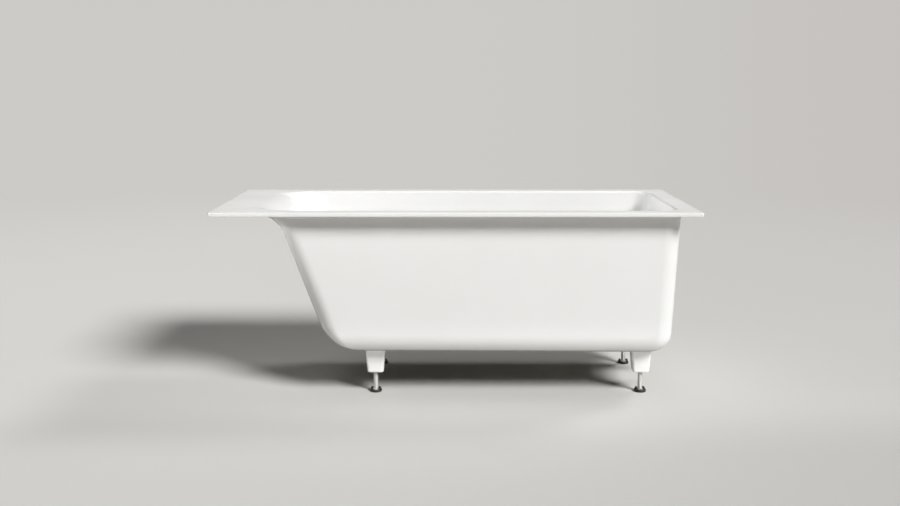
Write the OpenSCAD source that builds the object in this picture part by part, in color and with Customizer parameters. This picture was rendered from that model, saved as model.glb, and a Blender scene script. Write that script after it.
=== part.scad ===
// Cast marble bathtub on four levelling feet, with its pop-up waste and overflow.
// X runs from the backrest end to the waste end, Y from the front to the back, and Z up.
// The origin is on the floor, below the middle of the rim. Lengths are in millimetres.

/* [Rim] */
// Length of the rim
rim_l = 1600; // [1500:10:1800]
// Width of the rim
rim_w = 700; // [660:10:800]
// Thickness of the rim
rim_t = 12.5; // [10:0.5:18]
// Radius of the rim's corners, seen from above
rim_corner_r = 4; // [2:1:20]
// Rounding along the rim's outer edges
rim_edge_r = 1.5; // [1:0.5:4]

/* [Body] */
// Height of the body, from the underside at mid-length to the top of the rim
body_h = 489; // [440:1:540]
// How far the rim reaches past the body at the front and the back, just under the rim
side_reach = 53; // [40:1:70]
// How far the rim reaches past the body at the waste end, just under the rim
end_reach = 50.5; // [40:0.5:60]
// How far the backrest's straight slope starts from the rim's end, just under the rim
back_reach = 201; // [180:1:240]
// Lean of the front, the back and the waste end from the vertical
side_lean = 2.8; // [1:0.2:6]
// Lean of the backrest from the vertical
back_lean = 20.4; // [15:0.2:28]
// Thickness of the walls
wall_t = 16; // [12:0.5:20]
// Thickness of the floor at mid-length
floor_t = 20; // [18:1:28]
// Fall of the underside towards the waste end, in percent
under_fall = 0.4; // [0:0.1:1]
// Fall of the bathing floor towards the waste, in percent
floor_fall = 1; // [0.5:0.1:1.5]

/* [Roundings] */
// Flare of the backrest into the rim's underside
back_flare_r = 118; // [60:2:140]
// Flare of the other walls into the rim's underside
side_flare_r = 16; // [8:1:30]
// Outer rounding from the backrest into the underside
back_heel_r = 155; // [80:5:170]
// Outer rounding from the waste end into the underside
end_heel_r = 74; // [50:2:90]
// Outer rounding from the front and the back into the underside
side_heel_r = 70; // [40:2:80]
// Upright outer corners
outer_corner_r = 62; // [45:1:80]
// Edge of the basin at the rim's top, at the front, the back and the waste end
basin_edge_r = 8; // [5:1:15]
// Inner rounding from the backrest into the bathing floor
back_cove_r = 150; // [100:5:180]
// Inner rounding from the other walls into the bathing floor
side_cove_r = 70; // [50:2:80]
// Upright inner corners at the waste end
end_corner_r = 60; // [45:1:80]
// Upright inner corners at the backrest
back_corner_r = 90; // [60:2:110]

/* [Legs] */
// Distance from the rim's backrest end to the first pair of legs
leg_from_back = 526.5; // [500:0.5:560]
// Distance from the rim's waste end to the second pair of legs
leg_from_end = 165.5; // [155:0.5:190]
// Distance between the front legs and the back legs
leg_spread = 350; // [320:2:370]
// Height of a leg under the body, at mid-length
leg_h = 81.5; // [65:0.5:90]
// Length of a leg where it meets the body, along the tub
leg_top_l = 70; // [60:1:80]
// Length of a leg at its foot, before its edges are rounded
leg_low_l = 55; // [46:1:62]
// Width of a leg where it meets the body, across the tub
leg_top_w = 54; // [50:1:66]
// Width of a leg at its foot, before its edges are rounded
leg_low_w = 44; // [42:1:54]
// Rounding of a leg's upright corners
leg_corner_r = 9; // [5:1:14]
// Rounding of a leg's lower edges
leg_edge_r = 7; // [4:1:8]
// Diameter of the threaded insert in a leg
insert_d = 24; // [21:0.5:25]
// Length of the threaded insert
insert_l = 32; // [24:1:40]

/* [Levelling feet] */
// Diameter of the foot bolt
bolt_d = 16; // [12:1:18]
// Length of bolt that shows between its head and the leg
bolt_shown = 58.5; // [45:0.5:70]
// Length of bolt inside the leg
bolt_grip = 43; // [36:1:48]
// Width of the bolt's head across its flats
head_af = 24; // [20:1:27]
// Height of the bolt's head
head_h = 9; // [8:0.5:12]
// Diameter of the pad
pad_d = 41; // [40:1:52]
// Height of the pad's wall
pad_h = 9; // [8:0.5:11]
// Thickness of the pad under the bolt's head
pad_floor = 2.5; // [2:0.5:5]
// Height of the clips that hold the bolt's head down, above the head
clip_h = 3.5; // [3:0.5:6]
// Width of each clip round the pad, in degrees
clip_arc = 76; // [50:2:110]
// How far a foot screws in from the height shown
foot_in = 20; // [10:1:24]

/* [Waste] */
// Distance from the rim's waste end to the middle of the waste
waste_from_end = 200; // [190:1:230]
// Diameter of the waste hole and of the overflow hole
hole_d = 52; // [50:1:56]
// Diameter of the waste flange
flange_d = 70; // [66:1:74]
// Depth of the waste flange's recess
recess_h = 4; // [3.5:0.5:6]
// Depth of the level seat cut in the underside for the waste's seal
spot_h = 1; // [0.8:0.1:2]
// Outer diameter of the threaded necks that pass through the holes
neck_d = 48; // [46:0.5:49]
// Wall of the threaded necks
neck_t = 2.5; // [2:0.5:3]
// Thickness of the flange seals inside the tub
flange_seal_t = 1.5; // [1:0.25:2]
// Thickness of the seals between the tub and the waste and overflow bodies
body_seal_t = 3; // [2:0.5:5]
// Outer diameter of the collars that clamp those seals
collar_d = 75; // [70:1:80]
// Thickness of the collars
collar_t = 5; // [4:0.5:7]
// Height of the waste body
waste_h = 50; // [50:1:56]
// Outer diameter of the waste body's chamber
chamber_d = 62; // [60:1:66]
// Wall of the waste and overflow bodies
chamber_t = 3; // [2.5:0.5:4]
// Outer diameter of the outlet's thread
outlet_d = 47.8; // [40:0.1:48]
// Length of the outlet's thread
outlet_l = 18; // [12:1:20]
// Inner diameter of the outlet
outlet_bore = 40; // [34:1:42]

/* [Plug] */
// Diameter of the plug's cap
plug_d = 62; // [58:1:66]
// Thickness of the plug's cap at its edge
plug_t = 2; // [1.5:0.5:3]
// Extra thickness of the cap in the middle
plug_dome = 2; // [1:0.5:4]
// Diameter of the plug's stem
stem_d = 6; // [5:0.5:7]
// Length of the lift lever, from its spindle to the stem
lever_l = 20; // [18:1:22]
// Thickness of the lift lever's arms
lever_t = 5; // [4:0.5:6]

/* [Overflow] */
// Depth of the overflow's axis below the rim's top
overflow_drop = 85; // [78:1:110]
// Diameter of the overflow knob
knob_d = 70; // [64:1:72]
// Thickness of the overflow knob
knob_t = 9; // [7:0.5:12]
// Gap behind the knob for the water
knob_gap = 7; // [5:0.5:10]
// Diameter of the knob's spindle
spindle_d = 10; // [8:0.5:12]
// Diameter of the cable drum on the spindle
drum_d = 28; // [22:1:32]

/* [Pipes] */
// Outer diameter of the overflow pipe
pipe_d = 32; // [28:1:34]
// Wall of the overflow pipe
pipe_t = 2; // [1.5:0.25:3]
// Distance from the outside of the end wall to the overflow pipe's axis
pipe_off = 27; // [25.5:0.5:28]
// Radius of the bend in the overflow pipe
pipe_bend_r = 60; // [50:2:70]
// Outer diameter of the pipe sockets
socket_d = 39; // [38:0.5:40]
// Outer diameter of the pipe nuts
nut_d = 47; // [46:0.5:48]
// Length of the pipe nuts
nut_l = 18; // [16:1:22]
// Diameter of the cable's sheath
cable_d = 6; // [5:0.5:7]
// Distance from the middle of the tub to the cable
cable_y = 36; // [35:1:40]
// Distance from the outside of the end wall to the cable's axis
cable_off = 15; // [13:0.5:17]
// Radius of the bend in the cable
cable_bend_r = 60; // [50:2:80]

/* [Clearances] */
// Between a thread or a spindle and its hole, on the radius
run_gap = 0.05; // [0.02:0.01:0.1]
// Between a fixed piece and the socket that it sits in, on the radius
seat_gap = 0.1; // [0.05:0.05:0.3]
// Between curved faces that move past each other
pass_gap = 0.35; // [0.3:0.05:0.5]
// Between the bolt's head and the walls of its pad
head_gap = 0.4; // [0.3:0.1:0.8]
// Spare depth above a foot bolt that is screwed all the way in
bore_spare = 3; // [2:0.5:5]

/* [Hidden] */
$fn = 64;
// Steps round an upright corner, down a flare and up a heel: of the shell, and of a leg
SHELL_STEPS = [9, 8, 8];
LEG_STEPS = [4, 2, 3];

// Heights above the floor, at mid-length
rim_z = pad_floor + head_h + bolt_shown + leg_h + body_h;
under_z = rim_z - body_h;
rim_under_z = rim_z - rim_t;
basin_z = under_z + floor_t;
leg_low_z = under_z - leg_h;

// The basin's walls, measured where they would meet the plane of the rim's top
side_in = side_reach - rim_t * tan(side_lean) + wall_t / cos(side_lean);
end_in = end_reach - rim_t * tan(side_lean) + wall_t / cos(side_lean);
back_in = back_reach - rim_t * tan(back_lean) + wall_t / cos(back_lean);
// The basin's flare at the backrest runs beside the body's, one rim thickness above it
back_edge_r = back_flare_r + rim_t;

// Places of the legs
LEGS = ["back_front", "back_rear", "end_front", "end_rear"];
leg_x = [for (i = [0:3]) i < 2 ? leg_from_back - rim_l / 2 : rim_l / 2 - leg_from_end];
leg_y = [for (i = [0:3]) (i % 2 == 0 ? -1 : 1) * leg_spread / 2];
foot_names = [for (kind = ["foot_bolt_", "foot_pad_"]) for (leg = LEGS) str(kind, leg)];

// Heights of the waste, at the tub's middle width. The flange lies half a millimetre below the
// bathing floor, so that the last water runs over it.
waste_x = rim_l / 2 - waste_from_end;
waste_floor_z = basin_z - floor_fall / 100 * waste_x;
recess_z = waste_floor_z - recess_h;
spot_z = under_z - under_fall / 100 * waste_x + spot_h;
flange_z = recess_z + flange_seal_t;
flange_t = recess_h - flange_seal_t - 0.5;
flange_top = flange_z + flange_t;
waste_top = spot_z - body_seal_t;
waste_low = waste_top - waste_h;
pipe_z = waste_low + outlet_d / 2 + 0.1;
neck_r = neck_d / 2;
shoulder_r = hole_d / 2 - 0.4;
shoulder_h = 6;
neck_in = neck_r - neck_t;
neck_low = waste_top - 12;
wall_r = chamber_d / 2;
// The outlet's thread starts past the collar, so that a nut can turn on all of it
outlet_start = collar_d / 2 + 1;
outlet_end = outlet_start + outlet_l;
shoulder_over = 1.5;

// Spiders that guide the plug's stem and the knob's spindle: a hub on three arms
hub_t = 3;
arm_t = 3;
hub_h = 7;
hub_top = flange_top - 10;
over_hub_h = 8;

// The plug, closed. Its seal hangs just clear of the flange's cone.
seal_t = 4;
seal_drop = 2.5;
cone_r = hole_d / 2 - 0.5;
skirt_r = 19.5;
seal_z = flange_top - seal_drop;
seal_r = cone_r - seal_drop - (seal_t / 2 + pass_gap) * sqrt(2);
cap_z = flange_top + 0.4;
lever_z = waste_low + 13;
lever_x = waste_x + lever_l;
stem_low = lever_z + lever_t / 2 + pass_gap;
stem_top = cap_z + plug_t - 1;

// The lift lever: its spindle, its arm and the crank behind the cover
lever_r = 3;
lever_seat_r = 7.5;
lever_seal_t = 3;
lever_seal_r = lever_r + 2;
arm_w = 8;
crank_h = 13;
crank_w = 4;

// The overflow, on an axis square to the end wall
overflow_z = rim_z - overflow_drop;
// The fall of the underside turns the end wall by a hair, and the overflow stands clear of that
wall_turn = under_fall / 100 * (overflow_drop + collar_d / 2) / body_h * rim_l / 2 * tan(side_lean);
wall_clear = 0.02 + wall_turn;
overflow_x = rim_l / 2 - end_reach - (overflow_drop - rim_t) * tan(side_lean) + wall_clear;
over_chamber_r = 23;
over_back = pipe_off + socket_d / 2 + 0.5;
face_out = wall_t + wall_clear + flange_seal_t;
face_t = 2;
face_r = flange_d / 2 - 2;
face_edge = 0.6;
knob_in = face_out + face_t + knob_gap;
knob_out = knob_in + knob_t;
spindle_end = over_back - 1.5;
drum_gap = 4;
drum_h = 8;
drum_cap_h = 1.5;
box_w = 28;
box_t = 2;
box_edge = 6;
box_d = cable_off + 9;

// The pipe and the cable, each in a plane square to Y
socket_l = 30;
pipe_stop = 10;
pipe_seal_t = 4;
nut_lip = 3;
over_socket_top = 20;
elbow_t = 3.5;
elbow_socket_l = 22;
waste_socket_x = waste_x + wall_r - 4;
gland_r = cable_d / 2 + 2.5;
cable_socket_l = 10;
cable_seal_t = 1;
// The lever's cover, which is pressed over a step of the waste body
cover_r = 20;
cover_t = 2;
cover_y = wall_r;
cover_l = cable_y + gland_r - cover_y + 1;
cover_step = 1;
cover_gland_l = cover_r + 2;

// Length of the straight that a rounding takes off a leaning wall and a level plane
function tangent(r, lean) = r / tan((90 + lean) / 2);

// How far a leaning wall stands out at a distance d from a level plane that it flares into
function flare(d, r, lean) =
    d < tangent(r, lean) * cos(lean)
        ? tangent(r, lean) - sqrt(max(0, r * r - (r - d) * (r - d)))
        : -d * tan(lean);

// How far a wall stands out at height z, between the planes low and high, when its straight line
// meets the high plane at top. It flares outwards above and curls inwards below.
function wall(z, low, high, top, lean, r_high, r_low) =
    z > (low + high) / 2
        ? top + flare(high - z, r_high, lean)
        : top - (high - low) * tan(lean) - flare(z - low, r_low, lean);

// How far the same wall stands out of its straight line
function bulge(z, low, high, lean, r_high, r_low) =
    wall(z, low, high, 0, lean, r_high, r_low) + (high - z) * tan(lean);

// Radius of an upright corner where the wall beside it stands out by b, or in where b is negative
function corner(r, b) = b > 0 ? r + b : r * r / (r - b);

// One level ring: ends at x0 and x1, half width hw, and corner radii [along X, along Y] for each end
function ring(x0, x1, hw, c0, c1, z, fall, steps) = [
    for (q = [0:3])
        let (
            end = q == 0 || q == 3 ? c1 : c0,
            sx = q == 0 || q == 3 ? 1 : -1,
            sy = q < 2 ? 1 : -1,
            cx = sx > 0 ? x1 - end[0] : x0 + end[0],
            cy = sy * (hw - end[1])
        )
        for (i = [0:steps])
            let (a = 90 * q + 90 * i / steps, x = cx + end[0] * cos(a))
            [x, cy + end[1] * sin(a), z - fall * x]
];

// Steps that crowd together near zero
function crowd(n, reach) = [for (i = [0:n]) reach * i * i / (n * n)];

// Rings of a tub-like wall from the high plane down to the low one. Each end is
// [line at the high plane, lean, high radius, low radius, corner radius].
function tub_rings(low, high, back, end, side, fall, steps) =
    let (
        reach_high = max([for (w = [back, end, side]) tangent(w[2], w[1]) * cos(w[1])]),
        reach_low = max([for (w = [back, end, side]) tangent(w[3], w[1]) * cos(w[1])]),
        down = [for (d = crowd(steps[1], reach_high)) high - d],
        up = [for (d = crowd(steps[2], reach_low)) low + d],
        levels = concat(down, [for (i = [steps[2]:-1:0]) up[i]])
    )
    [for (z = levels)
        let (
            bb = bulge(z, low, high, back[1], back[2], back[3]),
            be = bulge(z, low, high, end[1], end[2], end[3]),
            bs = bulge(z, low, high, side[1], side[2], side[3])
        )
        ring(
            -wall(z, low, high, back[0], back[1], back[2], back[3]),
            wall(z, low, high, end[0], end[1], end[2], end[3]),
            wall(z, low, high, side[0], side[1], side[2], side[3]),
            [corner(back[4], bb), corner(back[4], bs)],
            [corner(end[4], be), corner(end[4], bs)],
            z, fall * (high - z) / (high - low), steps[0])];

// Rings of the rim's outer edge, from its top down to its underside
function rim_rings() = [
    for (step = [[rim_edge_r, 0], [0.3 * rim_edge_r, 0.3 * rim_edge_r], [0, rim_edge_r],
                 [0, rim_t - rim_edge_r], [rim_edge_r, rim_t]])
        let (r = rim_corner_r + rim_edge_r - step[0])
        ring(step[0] - rim_l / 2, rim_l / 2 - step[0], rim_w / 2 - step[0],
             [r, r], [r, r], rim_z - step[1], 0, SHELL_STEPS[0])];

// A closed skin through rings of equal length, with a flat lid on the first and the last
module skin(rings) {
    n = len(rings[0]);
    last = len(rings) - 1;
    points = [for (one = rings) for (p = one) p];
    sides = [for (k = [0:last - 1]) for (i = [0:n - 1])
        let (a = k * n + i, b = k * n + (i + 1) % n)
        each [[a, b, a + n], [b, b + n, a + n]]];
    lids = [[for (i = [n - 1:-1:0]) i], [for (i = [0:n - 1]) last * n + i]];
    polyhedron(points, concat(sides, lids));
}

// The shell's skin runs from the bathing floor up the basin, over the rim and down the body
module shell() {
    basin = tub_rings(basin_z, rim_z,
        [rim_l / 2 - back_in, back_lean, back_edge_r, back_cove_r, back_corner_r],
        [rim_l / 2 - end_in, side_lean, basin_edge_r, side_cove_r, end_corner_r],
        [rim_w / 2 - side_in, side_lean, basin_edge_r, side_cove_r],
        floor_fall / 100, SHELL_STEPS);
    body = tub_rings(under_z, rim_under_z,
        [rim_l / 2 - back_reach, back_lean, back_flare_r, back_heel_r, outer_corner_r],
        [rim_l / 2 - end_reach, side_lean, side_flare_r, end_heel_r, outer_corner_r],
        [rim_w / 2 - side_reach, side_lean, side_flare_r, side_heel_r],
        under_fall / 100, SHELL_STEPS);
    skin(concat([for (i = [len(basin) - 1:-1:0]) basin[i]], rim_rings(), body));
}

// One leg, cast with the tub, from its foot up into the floor
module leg(i) {
    ends = [leg_top_l / 2, atan((leg_top_l - leg_low_l) / 2 / leg_h), 6, leg_edge_r, leg_corner_r];
    sides = [leg_top_w / 2, atan((leg_top_w - leg_low_w) / 2 / leg_h), 6, leg_edge_r];
    top_z = under_z - under_fall / 100 * leg_x[i];
    rings = tub_rings(leg_low_z, top_z, ends, ends, sides, 0, LEG_STEPS);
    into = floor_t / 2;
    translate([leg_x[i], leg_y[i], 0]) skin(concat(
        [[for (p = rings[0]) p + [0, 0, into]]], rings));
}

module bathtub() {
    color("white") difference() {
        union() {
            shell();
            for (i = [0:3]) leg(i);
        }
        for (i = [0:3]) translate([leg_x[i], leg_y[i], leg_low_z]) {
            translate([0, 0, -1]) cylinder(d = insert_d + 2 * seat_gap, h = insert_l + 1 + seat_gap);
            cylinder(d = bolt_d + 2, h = bolt_grip + foot_in + bore_spare);
        }
        translate([waste_x, 0, under_z - leg_h]) cylinder(d = hole_d, h = leg_h + 2 * floor_t);
        translate([waste_x, 0, recess_z]) cylinder(d = flange_d + 2, h = 2 * floor_t);
        translate([waste_x, 0, spot_z - 2 * spot_h - 5]) cylinder(d = collar_d + 3, h = 2 * spot_h + 5);
        at_overflow() translate([0, 0, -2 * wall_t]) cylinder(d = hole_d, h = 3 * wall_t);
    }
}

module leg_inserts() {
    color("darkgoldenrod") for (i = [0:3]) translate([leg_x[i], leg_y[i], leg_low_z]) difference() {
        cylinder(d = insert_d, h = insert_l);
        translate([0, 0, -1]) cylinder(d = bolt_d + 2 * run_gap, h = insert_l + 2);
    }
}

module foot_bolt(i) {
    length = bolt_shown + bolt_grip;
    color("silver") translate([leg_x[i], leg_y[i], pad_floor]) {
        cylinder(d = head_af / cos(30), h = head_h, $fn = 6);
        translate([0, 0, head_h]) cylinder(d = bolt_d, h = length - 2);
        translate([0, 0, head_h + length - 2]) cylinder(d1 = bolt_d, d2 = bolt_d - 3, h = 2);
    }
}

module foot_pad(i) {
    pocket_r = head_af / cos(30) / 2 + head_gap;
    clip_z = pad_floor + head_h + pass_gap;
    clip_in = pocket_r + 0.5;
    clip_out = pocket_r + 3;
    clip_tip = head_af / 2 - 2;
    color("#1c1c1c") translate([leg_x[i], leg_y[i], 0]) {
        rotate_extrude() polygon([
            [0, 0], [pad_d / 2 - 1, 0], [pad_d / 2, 1], [pad_d / 2, pad_h - 3],
            [pad_d / 2 - 2, pad_h], [pocket_r, pad_h], [pocket_r, pad_floor], [0, pad_floor]]);
        for (a = [0, 180]) rotate([0, 0, a - clip_arc / 2]) rotate_extrude(angle = clip_arc) polygon([
            [clip_in, pad_h - 1], [clip_out, pad_h - 1], [clip_out, clip_z + 1],
            [clip_out - 1.5, clip_z + clip_h], [clip_in, clip_z + clip_h],
            [clip_tip, clip_z + 0.5], [clip_tip, clip_z], [clip_in, clip_z]]);
    }
}

// A flat ring, from one radius to another
module washer(r_in, r_out, h) {
    difference() {
        cylinder(r = r_out, h = h);
        translate([0, 0, -1]) cylinder(r = r_in, h = h + 2);
    }
}

// Three arms from a hub to the middle of a neck's wall, with a hole for a rod through the hub
module spider(rod_r, h) {
    difference() {
        union() {
            cylinder(r = rod_r + hub_t, h = h);
            for (a = [60:120:300]) rotate([0, 0, a]) translate([0, -arm_t / 2, 0])
                cube([neck_in + neck_t / 2, arm_t, h]);
        }
        translate([0, 0, -1]) cylinder(r = rod_r + run_gap, h = h + 2);
    }
}

module waste_flange() {
    color("silver") translate([waste_x, 0, 0]) {
        rotate_extrude() polygon([
            [neck_in, neck_low], [neck_r, neck_low], [neck_r, flange_z - shoulder_h],
            [shoulder_r, flange_z - shoulder_h], [shoulder_r, flange_z], [flange_d / 2, flange_z],
            [flange_d / 2, flange_top - 0.8], [flange_d / 2 - 0.8, flange_top], [cone_r, flange_top],
            [neck_in, flange_top - cone_r + neck_in]]);
        translate([0, 0, hub_top - hub_h]) spider(stem_d / 2, hub_h);
    }
}

module waste_flange_seal() {
    color("#2a2a2a") translate([waste_x, 0, recess_z])
        washer(hole_d / 2, flange_d / 2 - 1, flange_seal_t);
}

module waste_body_seal() {
    color("#2a2a2a") translate([waste_x, 0, waste_top]) washer(hole_d / 2, collar_d / 2, body_seal_t);
}

// Body below the tub: a round chamber, the overflow's socket, the outlet and the lever's seat
module waste_body() {
    hollow_r = wall_r - chamber_t - 1;
    hollow_z = waste_low + chamber_t;
    color("whitesmoke") difference() {
        union() {
            translate([waste_x, 0, waste_low]) cylinder(r = wall_r, h = waste_h);
            translate([waste_x, 0, waste_top - collar_t]) cylinder(d = collar_d, h = collar_t);
            at_pipe(waste_socket_x, 1) cylinder(d = socket_d, h = socket_l);
            at_pipe(waste_x, -1) {
                cylinder(d = outlet_d + 2 * shoulder_over, h = outlet_start);
                cylinder(d = outlet_d, h = outlet_end);
            }
            translate([lever_x, 0, lever_z]) rotate([90, 0, 0]) cylinder(r = lever_seat_r, h = cover_y);
            at_cover(-lever_seal_t - cover_step)
                cylinder(r = cover_r - cover_t - seat_gap, h = lever_seal_t + 2 * cover_step);
        }
        translate([waste_x, 0, hollow_z]) cylinder(r = hollow_r, h = neck_low - hollow_z - 1);
        translate([waste_x, 0, hollow_z]) cylinder(r = neck_r + run_gap, h = waste_h);
        at_pipe(waste_x, -1) cylinder(d = outlet_bore, h = outlet_end + 1);
        at_pipe(waste_x, 1) cylinder(r = pipe_d / 2 - pipe_t, h = wall_r + socket_l);
        at_pipe(waste_socket_x + pipe_stop, 1) cylinder(r = pipe_d / 2 + seat_gap, h = socket_l);
        translate([lever_x, 0, lever_z]) rotate([90, 0, 0]) {
            cylinder(r = lever_r + run_gap, h = cover_y + 2 * cover_step);
            translate([0, 0, cover_y - lever_seal_t])
                cylinder(r = lever_seal_r, h = lever_seal_t + 2 * cover_step);
        }
    }
}

// Frame on the level pipe's axis at x, with Z along X for way 1 and against it for way -1
module at_pipe(x, way) {
    translate([x, 0, pipe_z]) rotate([0, 90 * way, 0]) children();
}

// Frame on the lever cover's axis, with Z to the front, from the cover's edge
module at_cover(out) {
    translate([lever_x, -cover_y - out, pipe_z]) rotate([90, 0, 0]) children();
}

// Cap with a domed top, a skirt below it with a groove for the seal, and a bore for the stem
module plug_cap() {
    dome = [for (i = [0:6]) [plug_d / 2 * cos(15 * i), cap_z + plug_t + plug_dome * sin(15 * i)]];
    color("gainsboro") translate([waste_x, 0, 0]) difference() {
        rotate_extrude() polygon(concat(
            [[0, seal_z - seal_t], [skirt_r, seal_z - seal_t], [skirt_r, cap_z], [plug_d / 2, cap_z]],
            [for (i = [0:5]) dome[i]], [[0, dome[6][1]]]));
        translate([0, 0, seal_z]) rotate_extrude() translate([seal_r, 0]) circle(d = seal_t + 2 * run_gap);
        translate([0, 0, seal_z - seal_t - 1]) cylinder(d = stem_d, h = stem_top - seal_z + seal_t + 1);
    }
}

module plug_seal() {
    color("#2a2a2a") translate([waste_x, 0, seal_z]) rotate_extrude() translate([seal_r, 0])
        circle(d = seal_t);
}

module plug_stem() {
    color("silver") translate([waste_x, 0, stem_low]) cylinder(d = stem_d, h = stem_top - stem_low);
}

// Lever that pushes the stem up: an arm under the stem, a spindle through the body's wall
// and a crank behind the cover
module lift_lever() {
    spindle_end_y = cover_y + cover_l - 5;
    color("silver") translate([lever_x, 0, lever_z]) {
        rotate([90, 0, 0]) translate([0, 0, -2 * lever_r])
            cylinder(r = lever_r, h = spindle_end_y + 2 * lever_r);
        translate([-lever_l - 2, -arm_w / 2, -lever_t / 2]) cube([lever_l + 2, arm_w, lever_t]);
        translate([-lever_t / 2, -spindle_end_y, 0]) cube([lever_t, crank_w, crank_h]);
    }
}

module lever_seal() {
    color("#2a2a2a") translate([lever_x, -cover_y + lever_seal_t, lever_z]) rotate([90, 0, 0])
        washer(lever_r + run_gap, lever_seal_r, lever_seal_t);
}

// Cap over the crank, where the cable ends
module lever_cover() {
    color("whitesmoke") difference() {
        union() {
            at_cover(0) cylinder(r = cover_r, h = cover_l);
            translate([lever_x, -cable_y, pipe_z]) rotate([0, 90, 0])
                cylinder(r = gland_r, h = cover_gland_l + cable_socket_l);
        }
        at_cover(-1) cylinder(r = cover_r - cover_t, h = cover_l - cover_t + 1);
        translate([lever_x, -cable_y, pipe_z]) rotate([0, 90, 0]) {
            cylinder(d = cable_d - 2, h = cover_gland_l + 1);
            translate([0, 0, cover_gland_l]) cylinder(r = cable_d / 2 + seat_gap, h = cable_socket_l + 1);
        }
    }
}

// Frame at the overflow: Z points out of the end wall from its outer face, X points down along it
module at_overflow() {
    translate([overflow_x, 0, overflow_z]) rotate([0, 90 + side_lean, 0]) children();
}

module overflow_face() {
    color("silver") at_overflow() {
        mirror([0, 0, 1]) rotate_extrude() polygon([
            [neck_in, -body_seal_t - collar_t], [neck_r, -body_seal_t - collar_t], [neck_r, face_out],
            [face_r, face_out], [face_r, face_out + face_t - face_edge],
            [face_r - face_edge, face_out + face_t], [neck_in, face_out + face_t]]);
        translate([0, 0, -face_out - face_t]) spider(spindle_d / 2, over_hub_h);
    }
}

module overflow_face_seal() {
    color("#2a2a2a") at_overflow() translate([0, 0, -face_out])
        washer(hole_d / 2, face_r - 1, flange_seal_t);
}

module overflow_body_seal() {
    color("#2a2a2a") at_overflow() washer(hole_d / 2, collar_d / 2, body_seal_t);
}

// Body behind the end wall: a round chamber, the pipe's socket and a box where the cable turns
module overflow_body() {
    depth = over_back - body_seal_t;
    color("whitesmoke") at_overflow() difference() {
        union() {
            translate([0, 0, body_seal_t]) cylinder(d = collar_d, h = collar_t);
            translate([0, 0, body_seal_t]) cylinder(r = neck_r + chamber_t, h = collar_t + drum_gap);
            translate([0, 0, body_seal_t]) cylinder(r = over_chamber_r, h = depth);
            translate([over_socket_top - socket_d / 2, 0, pipe_off]) rotate([0, 90, 0])
                cylinder(d = socket_d, h = socket_l + socket_d / 2);
            translate([-box_w / 2, -cable_y - box_edge, body_seal_t])
                cube([box_w, cable_y + box_edge, box_d - body_seal_t]);
            translate([0, -cable_y, cable_off]) rotate([0, 90, 0])
                cylinder(r = gland_r, h = box_w / 2 + cable_socket_l);
        }
        translate([0, 0, body_seal_t - 1]) cylinder(r = neck_r + run_gap, h = collar_t + 1);
        translate([0, 0, body_seal_t]) cylinder(r = over_chamber_r - chamber_t, h = depth - chamber_t);
        cylinder(d = spindle_d + 2 * run_gap, h = spindle_end + run_gap);
        translate([0, 0, pipe_off]) rotate([0, 90, 0])
            cylinder(r = pipe_d / 2 - pipe_t, h = over_socket_top + socket_l + 1);
        translate([over_socket_top + pipe_stop, 0, pipe_off]) rotate([0, 90, 0])
            cylinder(r = pipe_d / 2 + seat_gap, h = socket_l);
        translate([-box_w / 2 + box_t, -cable_y - box_edge + box_t, body_seal_t + collar_t])
            cube([box_w - 2 * box_t, cable_y, box_d - body_seal_t - collar_t - box_t]);
        translate([0, -cable_y, cable_off]) rotate([0, 90, 0]) {
            cylinder(d = cable_d - 2, h = box_w / 2 + 1);
            translate([0, 0, box_w / 2]) cylinder(r = cable_d / 2 + seat_gap, h = cable_socket_l + 1);
        }
    }
}

module overflow_knob() {
    color("gainsboro") at_overflow() mirror([0, 0, 1]) difference() {
        rotate_extrude() polygon([
            [0, knob_in], [knob_d / 2 - 3, knob_in], [knob_d / 2, knob_in + 2],
            [knob_d / 2, knob_out - 3], [knob_d / 2 - 2.5, knob_out - 0.5],
            [knob_d / 2 - 6, knob_out], [0, knob_out]]);
        translate([0, 0, knob_in - 1]) cylinder(d = spindle_d, h = 1 + knob_t / 2);
    }
}

module knob_spindle() {
    color("silver") at_overflow() translate([0, 0, -knob_in - knob_t / 2])
        cylinder(d = spindle_d, h = knob_in + knob_t / 2 + spindle_end);
}

module cable_drum() {
    color("whitesmoke") at_overflow() translate([0, 0, body_seal_t + collar_t + drum_gap])
        washer(spindle_d / 2, drum_d / 2, drum_h);
}

// Cap on the end of the overflow's chamber
module drum_cap() {
    color("whitesmoke") at_overflow() translate([0, 0, over_back])
        cylinder(r = over_chamber_r - chamber_t - 1, h = drum_cap_h);
}

// Distance from the overflow's axis to the level run, down a line beside the end wall
function run_down(off) = (overflow_z - off * sin(side_lean) - pipe_z) / cos(side_lean);

// Where the middle of a bend lies that joins such a line to the level run, along X
function bend_x(off, r) =
    overflow_x + off * cos(side_lean) - run_down(off) * sin(side_lean) - tangent(r, side_lean);

// Distance down the line beside the end wall to where the bend starts
function bend_start(off, r) = run_down(off) - tangent(r, side_lean);

module overflow_pipe() {
    start = over_socket_top + pipe_stop + 1;
    color("whitesmoke") at_overflow() translate([start, 0, pipe_off]) rotate([0, 90, 0])
        washer(pipe_d / 2 - pipe_t, pipe_d / 2, bend_start(pipe_off, pipe_bend_r) - 1 - start);
}

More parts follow.
